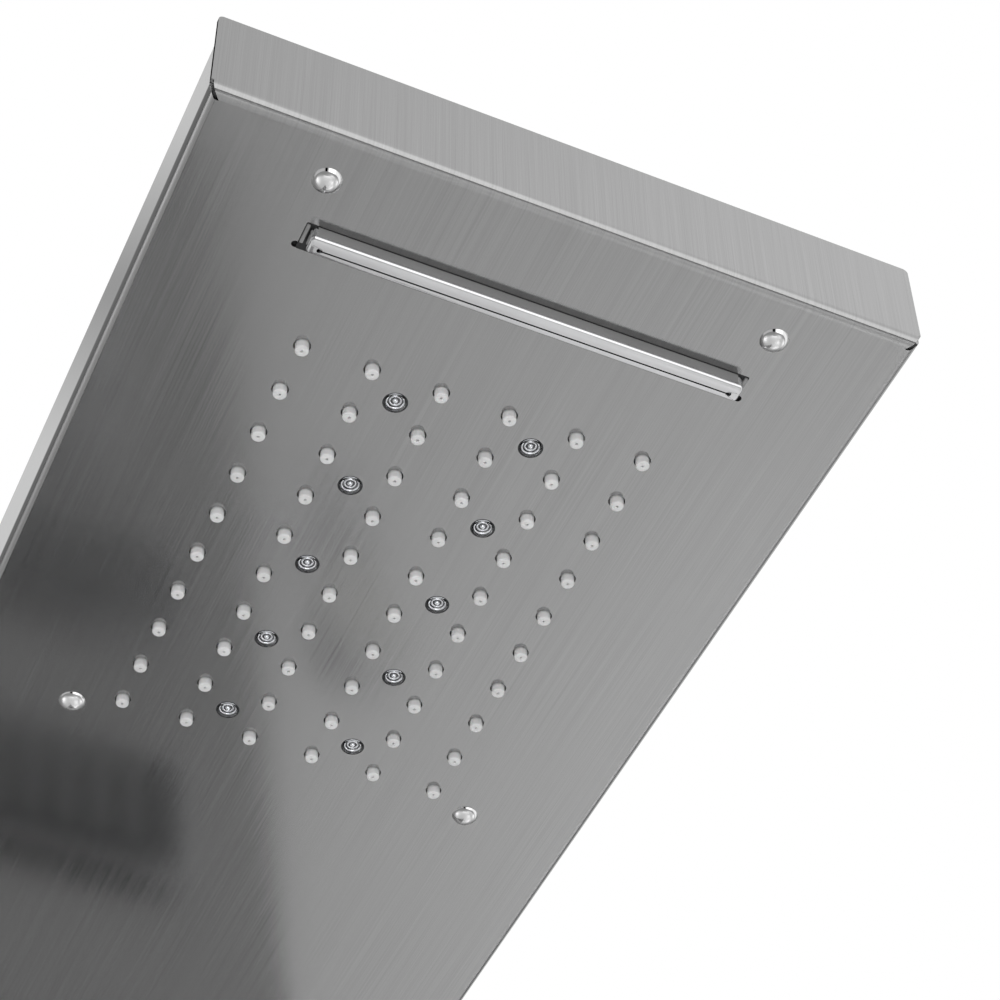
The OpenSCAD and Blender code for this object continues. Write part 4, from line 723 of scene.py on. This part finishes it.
def board():
    """Green circuit board with a faint mesh of tracks."""
    g = graph_of("board")
    brick = g.new("TexBrick", Vector=g.place(), Scale=120, Mortar_Size=0.03, Color1=(0.02, 0.12, 0.05, 1),
                  Color2=(0.03, 0.15, 0.07, 1), Mortar=(0.06, 0.28, 0.12, 1))
    g.put(g.shader, Base_Color=brick.outputs["Color"], Roughness=0.35, Coat_Weight=0.3)
    g.bump(brick.outputs["Fac"], 0.2, 0.00005)
    return g.owner


def light_chip():
    """A light chip's yellow phosphor with a slight grain."""
    g = graph_of("light_chip")
    grain = g.noise(g.place(), (1500, 1500, 1500))
    g.put(g.shader, Base_Color=g.tinted(grain, (0.75, 0.6, 0.12), (0.9, 0.8, 0.3)), Roughness=0.5)
    return g.owner


# The operators

FINISHES = {}


def finishes():
    """The materials of all pieces by material slot, made once."""
    if not FINISHES:
        c = bpy.context.scene.shower_colours
        chrome, silicone, plastic = tuple(c.chrome), tuple(c.silicone), tuple(c.plastic)
        FINISHES.update(
            brushed_panel=brushed_steel(c), chrome_metal=metal("chrome", chrome, 0.07),
            chrome_plastic=metal("chromed_plastic", scaled(chrome, 0.97), 0.1),
            polished_steel=metal("polished_steel", tuple(c.polished), 0.05),
            # grey non-metal look laid over the waterfall's chromed front to make it grey
            satin_coat=moulded("satin_coat", (0.29, 0.29, 0.29), 0.35, 0.05),
            plain_steel=metal("plain_steel", (0.42, 0.43, 0.44), 0.38, 0.06, 0.25, 0.8),
            cast_brass=metal("cast_brass", (0.58, 0.42, 0.18), 0.32, 0.08, 0.3, 0.8),
            copper_pipe=metal("copper_pipe", (0.62, 0.3, 0.17), 0.25, 0.08, 0.1, 0.8),
            silicone=moulded("silicone", silicone, 0.36, 0.08, under=0.03),
            black_rubber=moulded("black_rubber", (0.02, 0.02, 0.021), 0.6),
            grey_hose=braided_hose(), black_abs=moulded("black_abs", (0.035, 0.037, 0.04), 0.38, 0.15),
            white_plastic=moulded("white_plastic", plastic, 0.35), clear_lens=clear_plastic(),
            light_chip=light_chip(), board_green=board())
    return FINISHES


class SHOWER_OT_panel(bpy.types.Operator):
    """Folds the column and head from one brushed sheet"""
    bl_idname = "shower.panel"
    bl_label = "Panel"
    bl_options = {"REGISTER", "UNDO"}

    def execute(self, context):
        sizes = context.scene.shower_sizes
        points, normals, uv, faces = panel_skin(sizes)
        obj = sheet_solid("bent_panel", points, normals, faces, sizes.sheet, uv)
        dress(obj, "panel", "brushed_panel", "panel_shell")
        return {"FINISHED"}


class SHOWER_OT_nozzles(bpy.types.Operator):
    """Makes the silicone mat with its sixty nozzles"""
    bl_idname = "shower.nozzles"
    bl_label = "Rain nozzles"
    bl_options = {"REGISTER", "UNDO"}

    def execute(self, context):
        sizes = context.scene.shower_sizes
        parts = []
        for j, f in enumerate(NOZZLE_F):
            out = sizes.nozzle_front + (sizes.nozzle_back - sizes.nozzle_front) * j / 9
            parts.append(repeated(nozzle_part(out, sizes), [(x, f, 0) for x in NOZZLE_X]))
        verts, quads, tris = joined(parts)
        obj = outward(piece("nozzles", on_head(*verts.T), quads[:, ::-1], tris[:, ::-1]))
        dress(obj, "panel", "silicone", "nozzle_mat")
        middle = (NOZZLE_F[0] + NOZZLE_F[-1]) / 2
        verts, *faces = plate_part(118 * MM, 162.9 * MM, 2.5 * MM, 2.7 * MM, 3.2 * MM, (0, middle))
        web = outward(piece("nozzle_web", on_head(*verts.T), *faces))
        dress(web, "panel", "silicone")
        return {"FINISHED"}


def nozzle_part(out, sizes):
    """One nozzle, standing out of the face: a straight wall, a rounded tip, and a jet hole down its middle.
    Heights run inwards."""
    r, jet, edge, root = sizes.nozzle, 0.38 * MM, 0.5 * MM, 2.8 * MM
    tip = arc(r - edge, edge - out, edge, 0, -90, 6)
    hole = [(jet + 0.05 * MM, -out), (jet, 0.1 * MM - out), (jet, 2.2 * MM - out), (0, 2.2 * MM - out)]
    return turned(np.concatenate([[(0, root), (r, root)], tip, hole]), 28)


def plate_part(w, h, r, low, high, at=(0, 0)):
    """A flat plate with round corners, between two heights."""
    outline = round_box(w, h, r, 6, at)
    return stacked([np.column_stack([outline, np.full(len(outline), t)]) for t in (low, high)])


class SHOWER_OT_lights(bpy.types.Operator):
    """Makes the ten clear lenses with their rings and sockets"""
    bl_idname = "shower.lights"
    bl_label = "Lights"
    bl_options = {"REGISTER", "UNDO"}

    def execute(self, context):
        sizes = context.scene.shower_sizes
        places = [(x, f, 0) for x in LENS_X for f in LENS_F]
        for name, part, slot, nodes in (("lenses", lens_part(sizes), "clear_lens", ["led_lenses"]),
                                        ("light_rings", rings_part(), "polished_steel", []),
                                        # the sockets are black plastic, and their sleeves also paint the shade
                                        # in the gap round each lens
                                        ("light_sockets", socket_part(sizes), "black_abs", [])):
            verts, quads, tris = repeated(part, places)
            obj = outward(piece(name, on_head(*verts.T), quads, tris))
            dress(obj, "panel", slot, *nodes)
        return {"FINISHED"}


def lens_part(sizes):
    """One lens: a thin crown with a rounded edge, a wall into the sheet's hole and a flange behind the sheet,
    hollow from behind."""
    r, ball, wall = sizes.lens - 0.08 * MM, 7 * MM, 0.4 * MM
    wide, low, high = 4.8 * MM, 1.3 * MM, 1.6 * MM
    top = math.degrees(math.asin((r - wall) / ball))
    crown = arc(0, ball - sizes.lens_out - 0.35 * MM, ball, -90, -90 + top, 8)
    crown[0, 0] = 0
    edge = arc(r - wall, crown[-1, 1] + wall, wall, -80, 0, 5)
    inner = (crown + (0, wall))[::-1]
    inner[:, 0] = np.minimum(inner[:, 0], r - wall)
    flange = [(r, low), (wide, low), (wide, high), (r - wall, high)]
    return turned(np.concatenate([crown, edge, flange, inner]), 40)


def rings_part():
    """The bright rings behind a lens: circles turned round the lens's middle, with a small ball in it."""
    ball = arc(*RING_BALL, -90, 90, 9)
    ball[[0, -1], 0] = 0
    return joined([*(turned(arc(*ring, 0, 360, 13), 32) for ring in RINGS), turned(ball, 24)])


def socket_part(sizes):
    """The dark socket round a lens: a sleeve in the sheet's hole, whose black plastic also paints the shade in
    the gap round the lens, and a floor behind the rings, in mm.
    """
    r = sizes.lens / MM
    sleeve = [(r - 0.04, 1.7), (r - 0.04, 0.05), (r + 0.28, 0.05), (r + 0.28, 2)]
    return turned(np.array([(0, 1.45), (r - 0.7, 1.45), (r - 0.2, 1.7), *sleeve, (0, 2)]) * MM, 40)


class SHOWER_OT_waterfall(bpy.types.Operator):
    """Makes the waterfall's chromed mouthpiece with its slit, flange and rubber gasket, a black rubber filler
    that paints the shade in the slot's gap, and a grey strip over its front
    """
    bl_idname = "shower.waterfall"
    bl_label = "Waterfall"
    bl_options = {"REGISTER", "UNDO"}

    def execute(self, context):
        sizes = context.scene.shower_sizes
        verts, *faces = mouth_part(sizes)
        obj = outward(piece("waterfall_mouth", on_head(*verts.T), *faces))
        dress(obj, "panel", "chrome_metal", "waterfall_spout")
        at = (0, SLOT_F)
        flange = plate_part(134.8 * MM, 16.8 * MM, 4 * MM, 1.7 * MM, 3.2 * MM, at)
        gasket = plate_part(134 * MM, 16 * MM, 4 * MM, 1.25 * MM, 1.75 * MM, at)
        # black rubber filling the slot round the mouthpiece: painted shade of the gap
        filler = plate_part(126.6 * MM, 8.6 * MM, 0.5 * MM, 0.1 * MM, 1.3 * MM, at)
        for name, part, slot, look in (("waterfall_flange", flange, "chrome_metal", None),
                                       ("waterfall_gasket", gasket, "black_rubber", None),
                                       ("waterfall_gap_shade", filler, "black_rubber", None),
                                       ("waterfall_brow", brow_part(sizes), "chrome_metal", "satin_coat")):
            verts, *faces = part
            dress(outward(piece(name, on_head(*verts.T), *faces)), "panel", slot, look=look)
        return {"FINISHED"}


def mouth_part(sizes):
    """The mouthpiece as rings in planes above the face: a long outline with round ends, drawn in by a quarter
    of an ellipse at its rim, deeper at the front than at the rear, then flat to the slit's outline and down
    its walls."""
    out, n = sizes.fall_out, 12
    w, h = MOUTH_SIZE
    rings = []

    def ring(inset, t):
        """Adds the outline, drawn in by an inset, in the plane t."""
        front, rear = 2.1 * inset, 0.9 * inset
        mid = MOUTH_FRONT + (h + front - rear) / 2
        line = round_box(w - 2 * inset, h - front - rear, 1.2 * MM - inset * 0.7, n, (0, mid))
        rings.append(np.column_stack([line, np.full(len(line), t)]))

    ring(0, 2.2 * MM)
    for a in np.radians(np.linspace(0, 90, 12)):
        ring((1 - math.cos(a)) * MM, RIM * (1 - math.sin(a)) - out)
    for t in (-out, 0):
        rings.append(slit_ring(SLIT_F, t, n))
    return stacked(rings)


def slit_ring(f, t, n):
    """Outline of the slit: a thin line with a small round hole at each end."""
    half, r, w = 59.2 * MM, 0.8 * MM, 0.22 * MM
    neck = 180 - math.degrees(math.asin(w / r))
    right = arc(half - r, 0, r, -neck, neck, 2 * n)
    line = np.concatenate([right, -right])
    return np.column_stack([line + (0, f), np.full(len(line), t)])


def brow_part(sizes):
    """A grey, non-metal strip on the mouthpiece's front, 0.05 mm before it, which makes the chromed front grey,
    and a tab beside each of its ends.
    """
    low, high = RIM - sizes.fall_out, 1.2 * MM
    x = (MOUTH_SIZE[0] / 2 - 1.7 * MM) * np.array([-1, 1, 1, -1])
    rings = [np.column_stack([x, np.full(4, MOUTH_FRONT + d), [low, low, high, high]])
             for d in (-0.05 * MM, 0.4 * MM)]
    tabs = [plate_part(0.9 * MM, 6 * MM, 0.3 * MM, -0.5 * MM, high, (a * 62.7 * MM, 31.9 * MM))
            for a in (-1, 1)]
    return joined([stacked(rings), *tabs])


class SHOWER_OT_screws(bpy.types.Operator):
    """Makes the four mirror-polished domed screws of the head"""
    bl_idname = "shower.screws"
    bl_label = "Domed screws"
    bl_options = {"REGISTER", "UNDO"}

    def execute(self, context):
        sizes = context.scene.shower_sizes
        r, rise, shank, deep = sizes.dome, sizes.dome_rise, 2 * MM, 9.4 * MM
        ball = (r**2 + rise**2) / (2 * rise)
        top = math.degrees(math.asin((ball - rise) / ball))
        cap = arc(0, ball - rise, ball, -top, -90, 14)[::-1]
        cap[0, 0] = 0
        part = turned(np.concatenate([cap, [(r, 0), (shank, 0), (shank, deep), (0, deep)]]), 48)
        verts, quads, tris = repeated(part, [(a * DOME_X, f, 0) for a in (-1, 1) for f in DOME_F])
        obj = outward(piece("domed_screws", on_head(*verts.T), quads, tris))
        dress(obj, "panel", "polished_steel", "head_dome_screws")
        return {"FINISHED"}


class SHOWER_OT_corner_shade(bpy.types.Operator):
    """Makes dark dabs of black rubber inside the sheet's corners, behind the relief notches, as painted shade
    inside the corners
    """
    bl_idname = "shower.seals"
    bl_label = "Corner shade dabs"
    bl_options = {"REGISTER", "UNDO"}

    def execute(self, context):
        parts = []
        for inside, f, t, power, half in DABS:
            verts, *faces = dab_part(power)
            for a in (-1, 1):
                at = verts * half + (a * (HALF_W - inside), f, t)
                parts += [(on_head(*at.T), *faces), (at_bottom(*at.T), *faces)]
        obj = outward(piece("corner_shade_dabs", *joined(parts)))
        # the dabs are painted shade: black rubber where the corners' insides are only dark
        dress(obj, "panel", "black_rubber")
        return {"FINISHED"}


def dab_part(power):
    """A dab of half size 1: a ball whose coordinates are raised to a power. Below 1 it is a little boxy."""
    a = np.radians(np.linspace(-90, 90, 15))
    profile = np.stack([np.cos(a), np.sin(a)], -1)
    profile[[0, -1], 0] = 0
    verts, quads, tris = turned(profile, 24)
    return np.sign(verts) * np.abs(verts) ** power, quads, tris


def softened(name, source, width, steps=3):
    """A copy of one of the model's nodes, with its doubles merged, whose sharp edges a Bevel rounds."""
    node = frame["nodes"][source]
    mesh = node.data.copy()
    mesh.name = name
    b = bmesh.new()
    b.from_mesh(mesh)
    bmesh.ops.remove_doubles(b, verts=b.verts, dist=2e-6)
    bmesh.ops.dissolve_limit(b, angle_limit=math.radians(0.3), verts=b.verts, edges=b.edges)
    b.to_mesh(mesh)
    b.free()
    mesh.polygons.foreach_set("use_smooth", np.full(len(mesh.polygons), True))
    mesh.set_sharp_from_angle(angle=math.radians(30))
    obj = linked(name, mesh)
    bevel = obj.modifiers.new("rounding", "BEVEL")
    bevel.width, bevel.segments = width, steps
    bevel.limit_method, bevel.angle_limit = "ANGLE", math.radians(50)
    normals = obj.modifiers.new("flat faces", "WEIGHTED_NORMAL")
    normals.keep_sharp = True
    dress(obj, body_of(node)[0], SLOT_OF[source], source)


class SHOWER_OT_sprays(bpy.types.Operator):
    """Makes the two body sprays' frames with soft chromed edges and their black faceplates"""
    bl_idname = "shower.sprays"
    bl_label = "Body sprays"
    bl_options = {"REGISTER", "UNDO"}

    def execute(self, context):
        for name, z in zip(("upper", "lower"), SPRAY_Z):
            softened("spray_bezel_" + name, "spray_frame_" + name, 2.6 * MM, 4)
            verts, *faces = faceplate_part()
            obj = outward(piece("spray_plate_" + name, verts + (0, 0, z), *faces))
            dress(obj, "panel", "black_abs")
            softened("spray_rocker_" + name, "spray_block_" + name, 0.8 * MM)
        return {"FINISHED"}


def faceplate_part():
    """A spray's faceplate: a round-cornered ring, 0.4 mm proud of the frame, whose outer edge slopes in over
    0.3 mm. Outer and inner outline have the same count of points and are joined ring to ring."""
    front = FACE_Y - 8 * MM
    rings = []
    for w, h, r, y in FACEPLATE:
        line = round_box(w * MM, h * MM, r * MM, 6)
        rings.append(np.column_stack([line[:, 0], np.full(len(line), front + y * MM), line[:, 1]]))
    return stacked(rings, closed=False)


class SHOWER_OT_controls(bpy.types.Operator):
    """Rounds the edges of the diverter's knob, of the mixer's cap and lever and of both collars"""
    bl_idname = "shower.controls"
    bl_label = "Controls"
    bl_options = {"REGISTER", "UNDO"}

    def execute(self, context):
        softened("diverter_grip", "diverter_knob", 0.5 * MM)
        softened("diverter_rose", "diverter_collar", 0.6 * MM)
        softened("mixer_rose", "mixer_collar", 0.6 * MM)
        softened("mixer_dome", "mixer_cap", 0.6 * MM)
        softened("mixer_handle", "mixer_lever", 1.0 * MM, 4)
        return {"FINISHED"}


class SHOWER_OT_spout(bpy.types.Operator):
    """Rounds the edges of the tub spout"""
    bl_idname = "shower.spout"
    bl_label = "Tub spout"
    bl_options = {"REGISTER", "UNDO"}

    def execute(self, context):
        softened("tub_filler", "tub_spout", 1.2 * MM, 4)
        return {"FINISHED"}


class SHOWER_OT_hand(bpy.types.Operator):
    """Rounds the edges of the hand shower and of its holder"""
    bl_idname = "shower.hand"
    bl_label = "Hand shower"
    bl_options = {"REGISTER", "UNDO"}

    def execute(self, context):
        softened("hand_shell", "hand_shower_body", 1.5 * MM, 4)
        softened("hand_face", "hand_shower_face", 0.3 * MM)
        softened("holder_cup", "holder_cradle", 0.6 * MM)
        softened("holder_arm", "holder_bracket", 0.4 * MM)
        return {"FINISHED"}


class SHOWER_OT_other(bpy.types.Operator):
    """Gives every other node of the model the finish of its slot"""
    bl_idname = "shower.other"
    bl_label = "Other pieces"
    bl_options = {"REGISTER", "UNDO"}

    def execute(self, context):
        for name, node in frame["nodes"].items():
            node.data.materials.clear()
            node.data.materials.append(finishes()[SLOT_OF[name]])
        return {"FINISHED"}


class SHOWER_OT_stage(bpy.types.Operator):
    """Sets up the floor, the soft lamps, the world and the camera"""
    bl_idname = "shower.stage"
    bl_label = "Stage"
    bl_options = {"REGISTER", "UNDO"}

    def execute(self, context):
        scene = context.scene
        side = FLOOR_HALF * np.array([[-1, -1], [1, -1], [1, 1], [-1, 1]], float)
        level = np.full(4, MODEL_BOX[0][2] - FLOOR_GAP)
        floor = piece("floor", np.column_stack([side, level]), [[0, 1, 2, 3]], smooth=False)
        floor.data.materials.append(pale_floor())
        for row in LAMPS:
            lamp(*row)
        white_world(scene)
        camera = bpy.data.cameras.new("camera")
        camera.lens, camera.sensor_width, camera.clip_start = EYE_LENS, 36, 0.01
        scene.camera = linked("camera", camera)
        scene.camera.matrix_world = Matrix.Translation(EYE) @ Matrix(EYE_AXES).transposed().to_4x4()
        scene.view_settings.view_transform = "Standard"
        return {"FINISHED"}


def lamp(name, place, target, size, watts):
    """A square soft lamp that faces a point."""
    light = bpy.data.lights.new(name, "AREA")
    light.size, light.energy = size, watts
    obj = linked(name, light)
    obj.location = place
    obj.visible_glossy = obj.visible_camera = False
    obj.rotation_euler = (Vector(target) - Vector(place)).to_track_quat("-Z", "Y").to_euler()


def pale_floor():
    """Matt pale floor with a slight drift in tone."""
    g = graph_of("pale_floor")
    drift = g.noise(g.place(), (2, 2, 2))
    g.put(g.shader, Base_Color=g.tinted(drift, (0.76, 0.76, 0.76), (0.8, 0.8, 0.8)), Roughness=0.7)
    return g.owner


def white_world(scene):
    """A dim studio world that the camera sees as white. Mirrors and glass see white too, with a ceiling that is
    dim at the back and dimmer to the left, a front that is bright at the right and dark at the far left, and a
    soft change from left to right overhead."""
    scene.world = bpy.data.worlds.new("studio")
    g = Graph(scene.world)
    last = g.nodes["Background"]
    g.put(last, Color=(1, 1, 1, 1), Strength=0.28)
    x, y, z = g.new("SeparateXYZ", Vector=g.new("TexCoord").outputs["Generated"]).outputs
    dip = g.math("SUBTRACT", g.ranged(z, 0.56, 0.61, 0.18, 0.58), g.ranged(z, 0.61, 0.66, 0, 0.4))
    ceiling = g.math("MULTIPLY", dip, g.ranged(y, 0.2, 0.5, 0, 1))
    ceiling = g.math("ADD", ceiling, g.ranged(x, -0.2, -0.5, 0, 0.5))
    over = g.math("MULTIPLY", g.ranged(x, 0.05, 0.42, 0.24, -0.12), g.ranged(z, 0.7, 0.9, 0, 1))
    front = g.math("MULTIPLY", g.ranged(y, -0.78, -0.9, 0, 0.5), g.ranged(x, -0.35, -0.1, -1.4, 1))
    shade = g.math("ADD", g.math("SUBTRACT", 1.0, ceiling), g.math("SUBTRACT", front, over))
    rays = g.new("LightPath").outputs
    studio = g.new("Background", Color=(1, 1, 1, 1), Strength=shade)
    white = g.new("Background", Color=(1, 1, 1, 1), Strength=1.0)
    mirrored = g.math("MAXIMUM", rays["Is Glossy Ray"], rays["Is Transmission Ray"])
    for seen, shader in ((mirrored, studio), (rays["Is Camera Ray"], white)):
        mix = g.new("MixShader", Fac=seen)
        g.link(last.outputs[0], mix.inputs[1])
        g.link(shader.outputs[0], mix.inputs[2])
        last = mix
    g.link(last.outputs[0], g.nodes["World Output"].inputs["Surface"])


STEPS = (SHOWER_OT_panel, SHOWER_OT_nozzles, SHOWER_OT_lights, SHOWER_OT_waterfall, SHOWER_OT_screws,
         SHOWER_OT_corner_shade, SHOWER_OT_sprays, SHOWER_OT_controls, SHOWER_OT_spout, SHOWER_OT_hand,
         SHOWER_OT_other, SHOWER_OT_stage)


class SHOWER_PT_panel(bpy.types.Panel):
    """Lists the sizes, the colours and the steps that build the pieces"""
    bl_idname = "SHOWER_PT_panel"
    bl_label = "Shower panel"
    bl_space_type = "VIEW_3D"
    bl_region_type = "UI"
    bl_category = "Shower panel"

    def draw(self, context):
        """Draws the settings, then a button for each step."""
        for group in (context.scene.shower_sizes, context.scene.shower_colours):
            column = self.layout.column(align=True)
            for key in group.__annotations__:
                column.prop(group, key)
        for step in STEPS:
            self.layout.operator(step.bl_idname)


CLASSES = (ShowerSizes, ShowerColours, *STEPS, SHOWER_PT_panel)


def register():
    """Registers the classes and hangs the settings on the scene."""
    for cls in CLASSES:
        bpy.utils.register_class(cls)
    bpy.types.Scene.shower_sizes = bpy.props.PointerProperty(type=ShowerSizes)
    bpy.types.Scene.shower_colours = bpy.props.PointerProperty(type=ShowerColours)


def unregister():
    """Takes the settings and the classes away again."""
    del bpy.types.Scene.shower_colours
    del bpy.types.Scene.shower_sizes
    for cls in reversed(CLASSES):
        bpy.utils.unregister_class(cls)


def main():
    """Builds every piece in order."""
    register()
    for step in STEPS:
        group, name = step.bl_idname.split(".")
        getattr(getattr(bpy.ops, group), name)()


if __name__ == "__main__":
    main()
